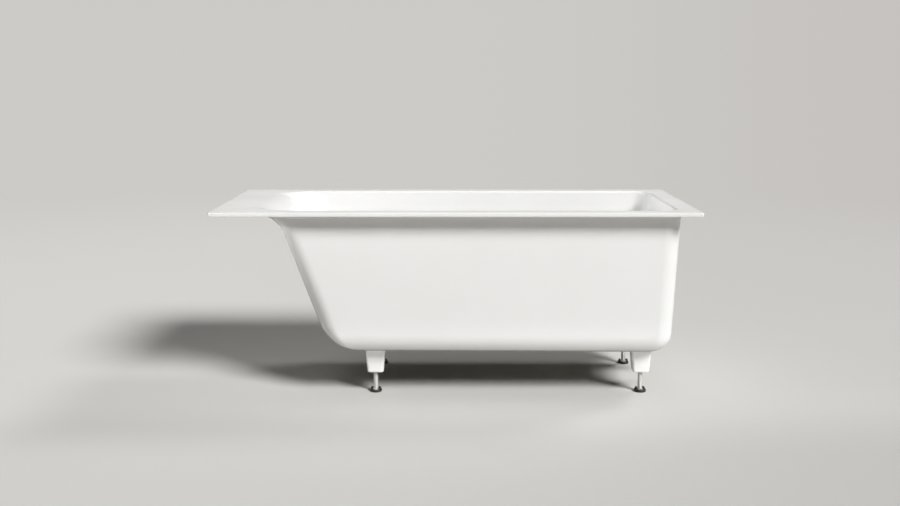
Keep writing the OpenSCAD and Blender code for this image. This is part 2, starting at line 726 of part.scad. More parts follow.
// Elbow with a socket for the pipe above and a plain end for the waste body's socket
module overflow_elbow() {
    bore_r = pipe_d / 2 - pipe_t;
    middle = [bend_x(pipe_off, pipe_bend_r), 0, pipe_z + pipe_bend_r];
    level_l = middle[0] - waste_socket_x - pipe_stop - 1;
    color("whitesmoke") difference() {
        union() {
            bend(middle, pipe_bend_r, bore_r + elbow_t, 0);
            at_pipe(middle[0] - level_l, 1) cylinder(d = pipe_d, h = level_l + 3);
            at_overflow() translate([bend_start(pipe_off, pipe_bend_r) + 3, 0, pipe_off])
                rotate([0, -90, 0]) cylinder(d = socket_d, h = elbow_socket_l + 3);
        }
        bend(middle, pipe_bend_r, bore_r, 2);
        at_pipe(middle[0] - level_l - 1, 1) cylinder(r = bore_r - 0.5, h = level_l + 2);
        at_overflow() translate([bend_start(pipe_off, pipe_bend_r), 0, pipe_off])
            rotate([0, -90, 0]) cylinder(r = pipe_d / 2 + seat_gap, h = elbow_socket_l + 1);
    }
}

// Quarter of a round bar, bent about middle from the line beside the end wall to the level run,
// and carried on by spare degrees at both ends
module bend(middle, bend_r, r, spare) {
    translate(middle) rotate([90, 0, 0]) rotate([0, 0, 270 - spare])
        rotate_extrude(angle = 90 - side_lean + 2 * spare) translate([bend_r, 0]) circle(r = r);
}

// Cable in one sweep, as rings along its way from the drum's box to the lever's cover
module bowden_cable() {
    middle = [bend_x(cable_off, cable_bend_r), -cable_y, pipe_z + cable_bend_r];
    turns = [for (i = [0:9]) side_lean + (90 - side_lean) * i / 9];
    up = bend_start(cable_off, cable_bend_r) - box_w / 2 - cable_seal_t;
    level_l = middle[0] - lever_x - cover_gland_l - cable_seal_t;
    skin_rings = concat(
        [cable_ring(middle, side_lean, [up * sin(side_lean), 0, up * cos(side_lean)])],
        [for (a = turns) cable_ring(middle, a, [0, 0, 0])],
        [cable_ring(middle, 90, [-level_l, 0, 0])]);
    color("#303030") skin(skin_rings);
}

// Ring of the cable at the angle a of its bend, moved on by shift
function cable_ring(middle, a, shift) = [
    for (i = [0:15])
        let (t = 22.5 * i, out = cable_bend_r - cable_d / 2 * sin(t))
        middle + shift + [out * cos(a), cable_d / 2 * cos(t), -out * sin(a)]];

// Nut over the end of a socket, with the seal between its lip and the socket
module pipe_nut() {
    translate([0, 0, pipe_seal_t + nut_lip - nut_l]) difference() {
        cylinder(d = nut_d, h = nut_l, $fn = 12);
        translate([0, 0, -1]) cylinder(r = socket_d / 2 + run_gap, h = nut_l - nut_lip + 1);
        translate([0, 0, -1]) cylinder(r = pipe_d / 2 + seat_gap, h = nut_l + 2);
    }
}

module pipe_seal() {
    washer(pipe_d / 2 + seat_gap / 2, socket_d / 2, pipe_seal_t);
}

// Places a piece at the end of the top socket, or of the low one
module at_top_socket() {
    at_overflow() translate([over_socket_top + socket_l, 0, pipe_off]) rotate([0, 90, 0]) children();
}

module at_low_socket() {
    at_pipe(waste_socket_x + socket_l, 1) children();
}

module pipe_nut_top() {
    color("whitesmoke") at_top_socket() pipe_nut();
}

module pipe_nut_low() {
    color("whitesmoke") at_low_socket() pipe_nut();
}

module pipe_seal_top() {
    color("#2a2a2a") at_top_socket() pipe_seal();
}

module pipe_seal_low() {
    color("#2a2a2a") at_low_socket() pipe_seal();
}

bathtub();
leg_inserts();
for (i = [0:3]) {
    foot_bolt(i);
    foot_pad(i);
}
waste_flange();
waste_flange_seal();
waste_body();
waste_body_seal();
plug_cap();
plug_seal();
plug_stem();
lift_lever();
lever_seal();
lever_cover();
overflow_face();
overflow_face_seal();
overflow_body();
overflow_body_seal();
overflow_knob();
knob_spindle();
cable_drum();
drum_cap();
overflow_pipe();
overflow_elbow();
pipe_nut_top();
pipe_nut_low();
pipe_seal_top();
pipe_seal_low();
bowden_cable();
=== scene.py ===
# %% [markdown]
# # A cast marble bathtub on levelling feet
# This lesson dresses a bathtub that was first built as solids. The solids come in as a fixed frame,
# and every finer piece made here takes its place in that frame, in metres, with Z up.
# X runs from the backrest to the waste end, and Y from the front to the back.

# %% Load the frame
from collections import namedtuple
from math import atan, cos, degrees, pi, radians, sin, sqrt, tan

import bmesh
import bpy
from mathutils import Matrix, Vector


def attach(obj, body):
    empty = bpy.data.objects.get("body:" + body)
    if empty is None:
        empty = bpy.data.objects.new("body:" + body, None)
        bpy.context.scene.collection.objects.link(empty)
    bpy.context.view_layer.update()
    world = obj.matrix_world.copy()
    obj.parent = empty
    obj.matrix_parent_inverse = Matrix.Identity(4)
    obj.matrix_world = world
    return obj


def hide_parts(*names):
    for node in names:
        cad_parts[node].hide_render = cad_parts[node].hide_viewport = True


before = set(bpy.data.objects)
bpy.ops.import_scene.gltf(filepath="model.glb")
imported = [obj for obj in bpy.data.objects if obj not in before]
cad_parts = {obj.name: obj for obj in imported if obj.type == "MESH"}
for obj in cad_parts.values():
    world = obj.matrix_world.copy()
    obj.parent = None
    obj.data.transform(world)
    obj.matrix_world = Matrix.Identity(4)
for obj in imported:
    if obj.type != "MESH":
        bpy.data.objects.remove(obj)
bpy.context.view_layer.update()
MM = 0.001

# %% [markdown]
# ## Camera
# The camera stands in front of the tub at a sitting eye's height, and the tub sits low in the
# picture. Tilting alone would lean the tub's uprights together, and shifting alone would cut it off
# when the camera goes round it, so the camera does about half of each.

# %% Camera
CAMERA_AT = (-0.0151, -3.6608, 1.0838)
DOWN_TILT, SIDE_TURN = 5.41, 0.06
PICTURE_W, LENS_IN_PICTURE, DOWN_SHIFT = 900, 1037.42, 80
SENSOR_W = 36

camera = bpy.data.objects.new("camera", bpy.data.cameras.new("camera"))
bpy.context.scene.collection.objects.link(camera)
camera.location = CAMERA_AT
camera.rotation_euler = (radians(90 - DOWN_TILT), 0, radians(SIDE_TURN))
camera.data.sensor_width = SENSOR_W
camera.data.lens = LENS_IN_PICTURE / PICTURE_W * SENSOR_W
camera.data.shift_y = -DOWN_SHIFT / PICTURE_W
camera.data.clip_end = 200
bpy.context.scene.camera = camera
print("lens:", round(camera.data.lens, 1), "mm")

# %% [markdown]
# ## Small helpers
# Meshes are written as points and faces. A face that meets its neighbour at a sharp angle keeps a
# crisp edge, and every other edge is shaded smooth, so that curved faces look round.

# %% Mesh helpers
SHARP = radians(35)


def new_mesh_object(name, points, faces, material=None):
    mesh = bpy.data.meshes.new(name)
    mesh.from_pydata([tuple(p) for p in points], [], faces)
    obj = bpy.data.objects.new(name, mesh)
    bpy.context.scene.collection.objects.link(obj)
    if material:
        mesh.materials.append(material)
    shade(obj)
    return obj


def shade(obj):
    bm = bmesh.new()
    bm.from_mesh(obj.data)
    for face in bm.faces:
        face.smooth = True
    for edge in bm.edges:
        edge.smooth = len(edge.link_faces) == 2 and edge.calc_face_angle(0) < SHARP
    bm.to_mesh(obj.data)
    bm.free()


def baked(obj):
    """Turns an object with its modifiers into a plain mesh at the origin."""
    bpy.context.view_layer.update()
    graph = bpy.context.evaluated_depsgraph_get()
    mesh = bpy.data.meshes.new_from_object(obj.evaluated_get(graph), depsgraph=graph)
    obj.modifiers.clear()
    mesh.transform(obj.matrix_world)
    obj.matrix_world = Matrix.Identity(4)
    obj.data = mesh
    shade(obj)
    return obj


# %% [markdown]
# ## Shader groups
# Effects that several finishes share are node groups. Each one puts out a mask, or a normal and a
# height, and takes named values, so that the same effect can be strong on one finish and faint on
# another.

# %% Node helpers
# A mix node keeps the sockets for numbers, vectors and colours one behind the other.
NUMBER_A, NUMBER_B, COLOR_A, COLOR_B, COLOR_OUT = 2, 3, 6, 7, 2


def group(name, inputs, outputs):
    tree = bpy.data.node_groups.new(name, "ShaderNodeTree")
    for socket, (kind, value) in inputs.items():
        made = tree.interface.new_socket(socket, in_out="INPUT", socket_type=kind)
        made.default_value = value
    for socket, kind in outputs.items():
        tree.interface.new_socket(socket, in_out="OUTPUT", socket_type=kind)
    return tree, tree.nodes.new("NodeGroupInput"), tree.nodes.new("NodeGroupOutput")


def node(tree, kind, **settings):
    made = tree.nodes.new(kind)
    for key, value in settings.items():
        if key in made.inputs:
            made.inputs[key].default_value = value
        else:
            setattr(made, key, value)
    return made


def ramp(tree, fac, low, high, at_low=0.0, at_high=1.0):
    """Maps a value from low..high to at_low..at_high, smoothly and clamped."""
    made = node(tree, "ShaderNodeMapRange", interpolation_type="SMOOTHSTEP")
    for key, value in {"From Min": low, "From Max": high, "To Min": at_low, "To Max": at_high}.items():
        made.inputs[key].default_value = value
    tree.links.new(fac, made.inputs["Value"])
    return made.outputs["Result"]


def times(tree, a, b):
    """The product of two outputs."""
    made = node(tree, "ShaderNodeMath", operation="MULTIPLY")
    tree.links.new(a, made.inputs[0])
    tree.links.new(b, made.inputs[1])
    return made.outputs[0]


def parts(tree, vector):
    """The X, Y and Z of a vector, as outputs."""
    made = tree.nodes.new("ShaderNodeSeparateXYZ")
    tree.links.new(vector, made.inputs[0])
    return made.outputs


def mixed(tree, fac, a, b):
    """A colour between a and b, each of which is a plain colour or another node's output."""
    made = node(tree, "ShaderNodeMix", data_type="RGBA")
    tree.links.new(fac, made.inputs[0])
    for color, socket in ((a, made.inputs[COLOR_A]), (b, made.inputs[COLOR_B])):
        if isinstance(color, tuple):
            socket.default_value = (*color, 1)
        else:
            tree.links.new(color, socket)
    return made.outputs[COLOR_OUT]


# %% Shader groups
def clouds_group():
    """Soft patches: a slow noise, from zero to one."""
    tree, into, out = group("soft patches", {
        "Vector": ("NodeSocketVector", (0, 0, 0)), "Scale": ("NodeSocketFloat", 6.0)},
        {"Mask": "NodeSocketFloat"})
    noise = node(tree, "ShaderNodeTexNoise", Detail=3.0, Roughness=0.55)
    tree.links.new(into.outputs["Vector"], noise.inputs["Vector"])
    tree.links.new(into.outputs["Scale"], noise.inputs["Scale"])
    tree.links.new(ramp(tree, noise.outputs["Fac"], 0.3, 0.7), out.inputs["Mask"])
    return tree


def grain_group():
    """Fine grain as a bumped normal: moulded, cast or sprayed faces, by scale and depth."""
    tree, into, out = group("fine grain", {
        "Vector": ("NodeSocketVector", (0, 0, 0)), "Scale": ("NodeSocketFloat", 400.0),
        "Depth": ("NodeSocketFloat", 0.0001), "Normal": ("NodeSocketVector", (0, 0, 0))},
        {"Normal": "NodeSocketVector", "Height": "NodeSocketFloat"})
    noise = node(tree, "ShaderNodeTexNoise", Detail=4.0, Roughness=0.6)
    bump = node(tree, "ShaderNodeBump", Strength=1.0)
    tree.links.new(into.outputs["Vector"], noise.inputs["Vector"])
    tree.links.new(into.outputs["Scale"], noise.inputs["Scale"])
    tree.links.new(noise.outputs["Fac"], bump.inputs["Height"])
    tree.links.new(into.outputs["Depth"], bump.inputs["Distance"])
    tree.links.new(into.outputs["Normal"], bump.inputs["Normal"])
    tree.links.new(bump.outputs["Normal"], out.inputs["Normal"])
    tree.links.new(noise.outputs["Fac"], out.inputs["Height"])
    return tree


def edges_group():
    """Mask of the outer edges, from the difference between the true and a rounded normal."""
    tree, into, out = group("edge mask", {"Reach": ("NodeSocketFloat", 0.001)}, {"Mask": "NodeSocketFloat"})
    bevel = node(tree, "ShaderNodeBevel", samples=4)
    geometry = node(tree, "ShaderNodeNewGeometry")
    dot = node(tree, "ShaderNodeVectorMath", operation="DOT_PRODUCT")
    tree.links.new(into.outputs["Reach"], bevel.inputs["Radius"])
    tree.links.new(bevel.outputs["Normal"], dot.inputs[0])
    tree.links.new(geometry.outputs["Normal"], dot.inputs[1])
    tree.links.new(ramp(tree, dot.outputs["Value"], 0.99, 0.8), out.inputs["Mask"])
    return tree


SOFT_PATCHES = clouds_group()
FINE_GRAIN = grain_group()
EDGE_MASK = edges_group()


# %% Material helper
def material(name, base, roughness, metallic=0.0, **sockets):
    """A Principled material with object coordinates ready, and plain numbers set on its sockets."""
    made = bpy.data.materials.new(name)
    made.use_nodes = True
    tree = made.node_tree
    shader = tree.nodes["Principled BSDF"]
    shader.inputs["Base Color"].default_value = (*base, 1)
    shader.inputs["Roughness"].default_value = roughness
    shader.inputs["Metallic"].default_value = metallic
    for key, value in sockets.items():
        shader.inputs[key.replace("_", " ")].default_value = value
    place = tree.nodes.new("ShaderNodeTexCoord").outputs["Object"]
    return made, tree, shader, place


def placed(tree, group_tree, place=None, **values):
    """A copy of a shader group in a tree, with its numbers set."""
    made = tree.nodes.new("ShaderNodeGroup")
    made.node_tree = group_tree
    for key, value in values.items():
        made.inputs[key].default_value = value
    if place is not None:
        tree.links.new(place, made.inputs["Vector"])
    return made


# %% [markdown]
# ## Finish: white gel coat
# Cast marble is resin and marble powder, poured over a sprayed coat of white gel. The coat is
# glossy, with a faint waviness from the polished mould and slow changes in its gloss. The white is
# set a little warm, and stays below full white so that the light can model it. The mould is open
# under the tub, so there the coat thins out over the last of the rounding, and the raw casting is
# matt and sandy. Its dark tone is partly the raw casting and partly painted shade on the heel that
# faces down, where little light falls. The way that a face points, and its height, tell where that is.

# %% Where the casting is raw, and where shade is painted
def raw_and_shade_mask(tree, place):
    """One where a face of the body's underside points down, and zero on the legs and elsewhere.
    The dark tone there is partly raw casting and partly painted shade.
    """
    facing = parts(tree, tree.nodes.new("ShaderNodeNewGeometry").outputs["Normal"])["Z"]
    height = parts(tree, place)["Z"]
    under_body = times(tree, ramp(tree, facing, -0.72, -0.99), ramp(tree, height, 0.2, 0.17))
    above_legs_end = ramp(tree, height, 0.12, 0.135)
    return times(tree, under_body, above_legs_end)


# %% Gel coat
GEL_WHITE = (0.875, 0.872, 0.86)
GEL_TONES = (0.87, 0.867, 0.855), (0.883, 0.881, 0.871)
GEL_ROUGHNESS = (0.17, 0.25)
# Dark tones under the tub: partly the raw casting, partly painted shade on the down-facing heel.
RAW_AND_SHADE_TONES = (0.24, 0.218, 0.19), (0.285, 0.26, 0.23)
RAW_ROUGHNESS = 0.7


def gel_coat():
    made, tree, shader, place = material("white_gel_coat", GEL_WHITE, 0.2, Coat_Roughness=0.06,
                                         Specular_IOR_Level=0.35)
    raw_and_shade = raw_and_shade_mask(tree, place)
    patches = placed(tree, SOFT_PATCHES, place, Scale=3.0).outputs["Mask"]
    sand = placed(tree, SOFT_PATCHES, place, Scale=60.0).outputs["Mask"]
    # The dark underside tone is partly raw casting and partly painted shade.
    color = mixed(tree, raw_and_shade, mixed(tree, patches, *GEL_TONES), mixed(tree, sand, *RAW_AND_SHADE_TONES))
    tree.links.new(color, shader.inputs["Base Color"])
    gloss = node(tree, "ShaderNodeMix", data_type="FLOAT")
    tree.links.new(raw_and_shade, gloss.inputs[0])
    tree.links.new(ramp(tree, patches, 0, 1, *GEL_ROUGHNESS), gloss.inputs[NUMBER_A])
    gloss.inputs[NUMBER_B].default_value = RAW_ROUGHNESS
    tree.links.new(gloss.outputs[0], shader.inputs["Roughness"])
    tree.links.new(ramp(tree, raw_and_shade, 0, 1, 0.15, 0.0), shader.inputs["Coat Weight"])
    wave = placed(tree, FINE_GRAIN, place, Scale=14.0, Depth=0.0001)
    fine = placed(tree, FINE_GRAIN, place, Scale=700.0, Depth=0.000006)
    tree.links.new(wave.outputs["Normal"], fine.inputs["Normal"])
    sandy = node(tree, "ShaderNodeBump", Distance=0.0004)
    tree.links.new(times(tree, fine.outputs["Height"], raw_and_shade), sandy.inputs["Height"])
    tree.links.new(fine.outputs["Normal"], sandy.inputs["Normal"])
    tree.links.new(sandy.outputs["Normal"], shader.inputs["Normal"])
    return made


GEL_COAT = gel_coat()

# %% [markdown]
# ## The tub's shape
# The casting follows a rule, so it is drawn as level rings. Each wall is a leaning straight line
# that flares out into the rim above and curls into the floor below. A ring at a given height joins
# the four walls with upright corners, whose radius grows where the walls flare.

# %% The rule of a wall
# How far out a wall would stand at its top without the flare, its lean in degrees, and the radii of
# its flare, its heel and its upright corner.
Wall = namedtuple("Wall", "reach lean high_r low_r corner_r", defaults=(0,))


def tangent(r, lean):
    """How far a rounding of a leaning wall runs along a level plane."""
    return r / tan(radians(90 + lean) / 2)


def flare(d, r, lean):
    """How far out a rounding stands at a distance from its level plane."""
    t = tangent(r, lean)
    if d < t * cos(radians(lean)):
        return t - sqrt(max(0, r * r - (r - d) ** 2))
    return -d * tan(radians(lean))


def reach_at(z, low, high, wall):
    """How far out a wall stands at a height."""
    if z > (low + high) / 2:
        return wall.reach + flare(high - z, wall.high_r, wall.lean)
    return wall.reach - (high - low) * tan(radians(wall.lean)) - flare(z - low, wall.low_r, wall.lean)


def corner(r, bulge):
    """A corner's radius where its wall stands out of its straight line by a bulge."""
    return r + bulge if bulge > 0 else r * r / (r - bulge)


# %% Level rings
def ring(x0, x1, half, c0, c1, z, fall, steps):
    """A level ring from x0 to x1, whose corners have half axes c0 and c1 along X and Y."""
    points = []
    for quarter in range(4):
        end = c1 if quarter in (0, 3) else c0
        sx = 1 if quarter in (0, 3) else -1
        sy = 1 if quarter < 2 else -1
        cx = x1 - end[0] if sx > 0 else x0 + end[0]
        for i in range(steps + 1):
            a = radians(90 * quarter + 90 * i / steps)
            x = cx + end[0] * cos(a)
            points.append((x, sy * (half - end[1]) + end[1] * sin(a), z - fall * x))
    return points


def tub_rings(low, high, back, end, side, fall, steps):
    """Rings between two heights. The steps are those of a corner, of the flare and of the heel."""
    walls = (back, end, side)
    in_corner, in_flare, in_heel = steps
    flare_h = max(tangent(w.high_r, w.lean) * cos(radians(w.lean)) for w in walls)
    heel_h = max(tangent(w.low_r, w.lean) * cos(radians(w.lean)) for w in walls)
    heights = [high - flare_h * (i / in_flare) ** 2 for i in range(in_flare + 1)]
    heights += [low + heel_h * (i / in_heel) ** 2 for i in range(in_heel, -1, -1)]
    rings = []
    for z in heights:
        at = [reach_at(z, low, high, w) for w in walls]
        bulge = [a - w.reach + (high - z) * tan(radians(w.lean)) for a, w in zip(at, walls)]
        back_corner = [corner(back.corner_r, b) for b in (bulge[0], bulge[2])]
        end_corner = [corner(end.corner_r, b) for b in (bulge[1], bulge[2])]
        rings.append(ring(-at[0], at[1], at[2], back_corner, end_corner, z,
                          fall * (high - z) / (high - low), in_corner))
    return rings


# %% Skin over rings
def skin(name, rings, material=None):
    """A closed skin from the first ring to the last, with a flat face on each."""
    n = len(rings[0])
    points = [[v * MM for v in p] for one in rings for p in one]
    faces = [list(range(n))]
    for k in range(len(rings) - 1):
        for i in range(n):
            a, b = k * n + i, k * n + (i + 1) % n
            faces.append((a, a + n, b + n, b))
    faces.append([(len(rings) - 1) * n + i for i in range(n - 1, -1, -1)])
    return new_mesh_object(name, points, faces, material)


# %% [markdown]
# ## Casting the tub
# The sizes repeat those of the solids, in millimetres. One skin runs from the bathing floor up the
# basin, over the rim and down the body to the underside. The steps are fine enough for smooth
# reflections, and crowd together where a rounding begins.

# %% Shell of the tub
RIM_L, RIM_W, RIM_T, RIM_Z, UNDER_Z = 1600, 700, 12.5, 640.5, 151.5
RIM_CORNER_R, RIM_EDGE_R = 4, 1.5
SIDE_IN, END_IN, BACK_IN = 53, 50.5, 201
SIDE_LEAN, BACK_LEAN, WALL_T, FLOOR_T = 2.8, 20.4, 16, 20
FLOOR_FALL, UNDER_FALL = 0.01, 0.004
BACK_FLARE_R, SIDE_FLARE_R, BASIN_EDGE_R = 118, 16, 8
BACK_HEEL_R, END_HEEL_R, SIDE_HEEL_R, OUTER_CORNER_R = 155, 74, 70, 62
BACK_COVE_R, SIDE_COVE_R, BACK_CORNER_R, END_CORNER_R = 150, 70, 90, 60
BASIN_Z = UNDER_Z + FLOOR_T
SHELL_STEPS = (22, 22, 26)


def thick(reach, lean):
    """How far the basin's wall starts from the rim's edge, behind a body's wall that starts at a reach."""
    return reach - RIM_T * tan(radians(lean)) + WALL_T / cos(radians(lean))


def rim_rings(steps=5):
    """Rings over the rim's rounded outer edge, from its top to its underside."""
    angles = [radians(90 * i / steps) for i in range(steps + 1)]
    turns = [(RIM_EDGE_R * (1 - sin(a)), RIM_EDGE_R * (1 - cos(a))) for a in angles]
    profile = turns + [(inset, RIM_T - drop) for inset, drop in reversed(turns)]
    rings = []
    for inset, drop in profile:
        x, y = RIM_L / 2 - inset, RIM_W / 2 - inset
        r = [RIM_CORNER_R + RIM_EDGE_R - inset] * 2
        rings.append(ring(-x, x, y, r, r, RIM_Z - drop, 0, SHELL_STEPS[0]))
    return rings


basin = tub_rings(
    BASIN_Z, RIM_Z,
    Wall(RIM_L / 2 - thick(BACK_IN, BACK_LEAN), BACK_LEAN, BACK_FLARE_R + RIM_T, BACK_COVE_R,
         BACK_CORNER_R),
    Wall(RIM_L / 2 - thick(END_IN, SIDE_LEAN), SIDE_LEAN, BASIN_EDGE_R, SIDE_COVE_R, END_CORNER_R),
    Wall(RIM_W / 2 - thick(SIDE_IN, SIDE_LEAN), SIDE_LEAN, BASIN_EDGE_R, SIDE_COVE_R),
    FLOOR_FALL, SHELL_STEPS)
body = tub_rings(
    UNDER_Z, RIM_Z - RIM_T,
    Wall(RIM_L / 2 - BACK_IN, BACK_LEAN, BACK_FLARE_R, BACK_HEEL_R, OUTER_CORNER_R),
    Wall(RIM_L / 2 - END_IN, SIDE_LEAN, SIDE_FLARE_R, END_HEEL_R, OUTER_CORNER_R),
    Wall(RIM_W / 2 - SIDE_IN, SIDE_LEAN, SIDE_FLARE_R, SIDE_HEEL_R),
    UNDER_FALL, SHELL_STEPS)
tub = skin("cast_tub", list(reversed(basin)) + rim_rings() + body, GEL_COAT)
print("shell faces:", len(tub.data.polygons))

# %% [markdown]
# ## Legs, holes and seats
# Four tapered legs are cast with the tub. They are skins of the same kind, joined to the shell with
# a boolean. The waste hole, its recess, the overflow hole and the bores for the feet are then cut,
# as the casting's maker drills them.

# %% Legs
LEG_AT = {"back_front": (-273.5, -175), "back_rear": (-273.5, 175),
          "end_front": (634.5, -175), "end_rear": (634.5, 175)}
LEG_H, LEG_TOP_L, LEG_LOW_L, LEG_TOP_W, LEG_LOW_W = 81.5, 70, 55, 54, 44
LEG_TOP_R, LEG_LOW_R, LEG_CORNER_R = 6, 7, 9
LEG_SUNK = 10
LEG_Z = UNDER_Z - LEG_H
LEG_STEPS = (8, 6, 8)


def leg(name, leg_x, leg_y):
    """A tapered leg whose top is sunk into the tub."""
    end_lean = degrees(atan((LEG_TOP_L - LEG_LOW_L) / 2 / LEG_H))
    side_lean = degrees(atan((LEG_TOP_W - LEG_LOW_W) / 2 / LEG_H))
    end = Wall(LEG_TOP_L / 2, end_lean, LEG_TOP_R, LEG_LOW_R, LEG_CORNER_R)
    side = Wall(LEG_TOP_W / 2, side_lean, LEG_TOP_R, LEG_LOW_R)
    rings = tub_rings(LEG_Z, UNDER_Z - UNDER_FALL * leg_x, end, end, side, 0, LEG_STEPS)
    rings = [[(x, y, z + LEG_SUNK) for x, y, z in rings[0]]] + rings
    return skin(f"leg_{name}", [[(x + leg_x, y + leg_y, z) for x, y, z in one] for one in rings])


# %% Cutters
def disc(name, radius, low, high, at, turn=None, sides=96):
    """A closed cylinder between two heights on its own axis, moved to a place, in millimetres."""
    angles = [2 * pi * i / sides for i in range(sides)]
    points = [(radius * cos(a), radius * sin(a), z) for z in (low, high) for a in angles]
    place = Matrix.Translation(Vector(at)) @ (turn or Matrix.Identity(4))
    faces = [list(range(sides - 1, -1, -1)), [sides + i for i in range(sides)]]
    faces += [(i, (i + 1) % sides, sides + (i + 1) % sides, sides + i) for i in range(sides)]
    return new_mesh_object(name, [(place @ Vector(p)) * MM for p in points], faces)


def combine(target, tools, operation):
    """Joins tools to a target or cuts them out of it, and uses them up."""
    for tool in tools:
        step = target.modifiers.new("cut", "BOOLEAN")
        step.operation, step.solver, step.object = operation, "EXACT", tool
        tool.hide_render = True
    baked(target)
    for tool in tools:
        bpy.data.objects.remove(tool)


# %% Joining and cutting
OVERFLOW_AT = (746.013, 0, 555.5)
OVERFLOW_TURN = Matrix.Rotation(radians(90 + SIDE_LEAN), 4, "Y")
WASTE_X = 600
WASTE_AT = (WASTE_X, 0, 0)
HOLE_R, RECESS_R, SEAT_R = 26, 36, 39
RECESS_Z, SEAT_Z = 161.5, 150.1
INSERT_BORE_R, INSERT_BORE_H = 12.1, 32.1
BOLT_WAY_R, BOLT_WAY_H = 9, 66

combine(tub, [leg(name, *at) for name, at in LEG_AT.items()], "UNION")
cuts = [disc("bore", INSERT_BORE_R, -1, INSERT_BORE_H, (*at, LEG_Z)) for at in LEG_AT.values()]
cuts += [disc("bore", BOLT_WAY_R, -1, BOLT_WAY_H, (*at, LEG_Z)) for at in LEG_AT.values()]
cuts.append(disc("waste", HOLE_R, 60, 200, WASTE_AT))
cuts.append(disc("recess", RECESS_R, RECESS_Z, 200, WASTE_AT))
cuts.append(disc("seat", SEAT_R, 140, SEAT_Z, WASTE_AT))
cuts.append(disc("overflow", HOLE_R, -40, 20, OVERFLOW_AT, OVERFLOW_TURN))
combine(tub, cuts, "DIFFERENCE")
print("tub faces:", len(tub.data.polygons))

# %% Tub into the frame
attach(tub, "tub")
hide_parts("bathtub")

# %% [markdown]
# ## Turned pieces
# Most of the fittings are turned or moulded round an axis. A profile of radius and height is spun
# with the edges rounded first, because no real edge is a knife, and a rounded edge catches the
# light. The profile runs round the section, and the faces are pointed outwards after the spin.

# %% Profile and spin
def rounded(profile, r=0.4, steps=3):
    """Rounds the corners of a profile in millimetres. A corner may bring its own radius."""
    made = []
    n = len(profile)
    for i, corner_point in enumerate(profile):
        radius = corner_point[2] if len(corner_point) > 2 else r
        here = Vector(corner_point[:2])
        before, after = Vector(profile[i - 1][:2]) - here, Vector(profile[(i + 1) % n][:2]) - here
        half = before.angle(after, pi) / 2
        if radius <= 0 or half > radians(88) or half < 0.02 or here.x <= 0:
            made.append(tuple(here))
            continue
        back = min(radius / tan(half), 0.45 * before.length, 0.45 * after.length)
        a, b = here + before.normalized() * back, here + after.normalized() * back
        for k in range(steps + 1):
            t = k / steps
            made.append(tuple(a * (1 - t) ** 2 + here * 2 * t * (1 - t) + b * t ** 2))
    return made


WELD, TOO_SHORT = 1e-6, 1e-7


def outward(obj):
    """Merges doubles, drops faces without an area and points the others outwards."""
    bm = bmesh.new()
    bm.from_mesh(obj.data)
    bmesh.ops.remove_doubles(bm, verts=bm.verts, dist=WELD)
    bmesh.ops.dissolve_degenerate(bm, edges=bm.edges, dist=TOO_SHORT)
    bmesh.ops.recalc_face_normals(bm, faces=bm.faces)
    bm.to_mesh(obj.data)
    bm.free()
    shade(obj)
    return obj


def swept(name, profile, path, finish, steps=72, span=360):
    """Turns a closed profile of (radius, way) about a path. The path gives a frame for each way."""
    count = steps if span == 360 else steps + 1
    n = len(profile)
    frames = [path(way) for r, way in profile]
    points = []
    for s in range(count):
        a = radians(span * s / steps)
        around = Vector((cos(a), sin(a), 0))
        points += [(at @ (around * r)) * MM for (r, way), at in zip(profile, frames)]
    faces = []
    for s in range(steps):
        t = (s + 1) % count
        for k in range(n):
            j = (k + 1) % n
            faces.append((s * n + k, t * n + k, t * n + j, s * n + j))
    if span < 360:
        faces += [list(range(n)), [steps * n + k for k in range(n)]]
    return outward(new_mesh_object(name, points, faces, finish))


def spun(name, profile, finish, place=Matrix.Identity(4), steps=72, span=360):
    """Turns a closed profile of (radius, height) in millimetres about the Z axis of a place."""
    def path(height):
        return place @ Matrix.Translation((0, 0, height))
    return swept(name, profile, path, finish, steps, span)


def joined(name, pieces):
    """Joins pieces into the first one, which takes the name. Each keeps its material."""
    bm = bmesh.new()
    finishes = []
    for piece in pieces:
        start = len(bm.faces)
        bm.from_mesh(piece.data)
        bm.faces.ensure_lookup_table()
        slots = list(piece.data.materials)
        for m in slots:
            if m not in finishes:
                finishes.append(m)
        for face in bm.faces[start:]:
            face.material_index = finishes.index(slots[face.material_index]) if slots else 0
    first = pieces[0]
    mesh = bpy.data.meshes.new(name)
    bm.to_mesh(mesh)
    bm.free()
    for m in finishes:
        mesh.materials.append(m)
    for piece in pieces[1:]:
        bpy.data.objects.remove(piece)
    first.data = mesh
    first.name = name
    shade(first)
    return first


def fitted(obj, body_name, slot_name, *nodes):
    """Puts a finished piece into the frame: its body, and the solids that it stands for. The name of its
    finish is not used.
    """
    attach(obj, body_name)
    if nodes:
        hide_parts(*nodes)
    return obj


# %% [markdown]
# ## Finishes of the feet
# The bolts are zinc plated steel: bright, a little cloudy, with fine lines along them. The pads are
# moulded black plastic, with a matt grain and slightly paler rubbed edges.

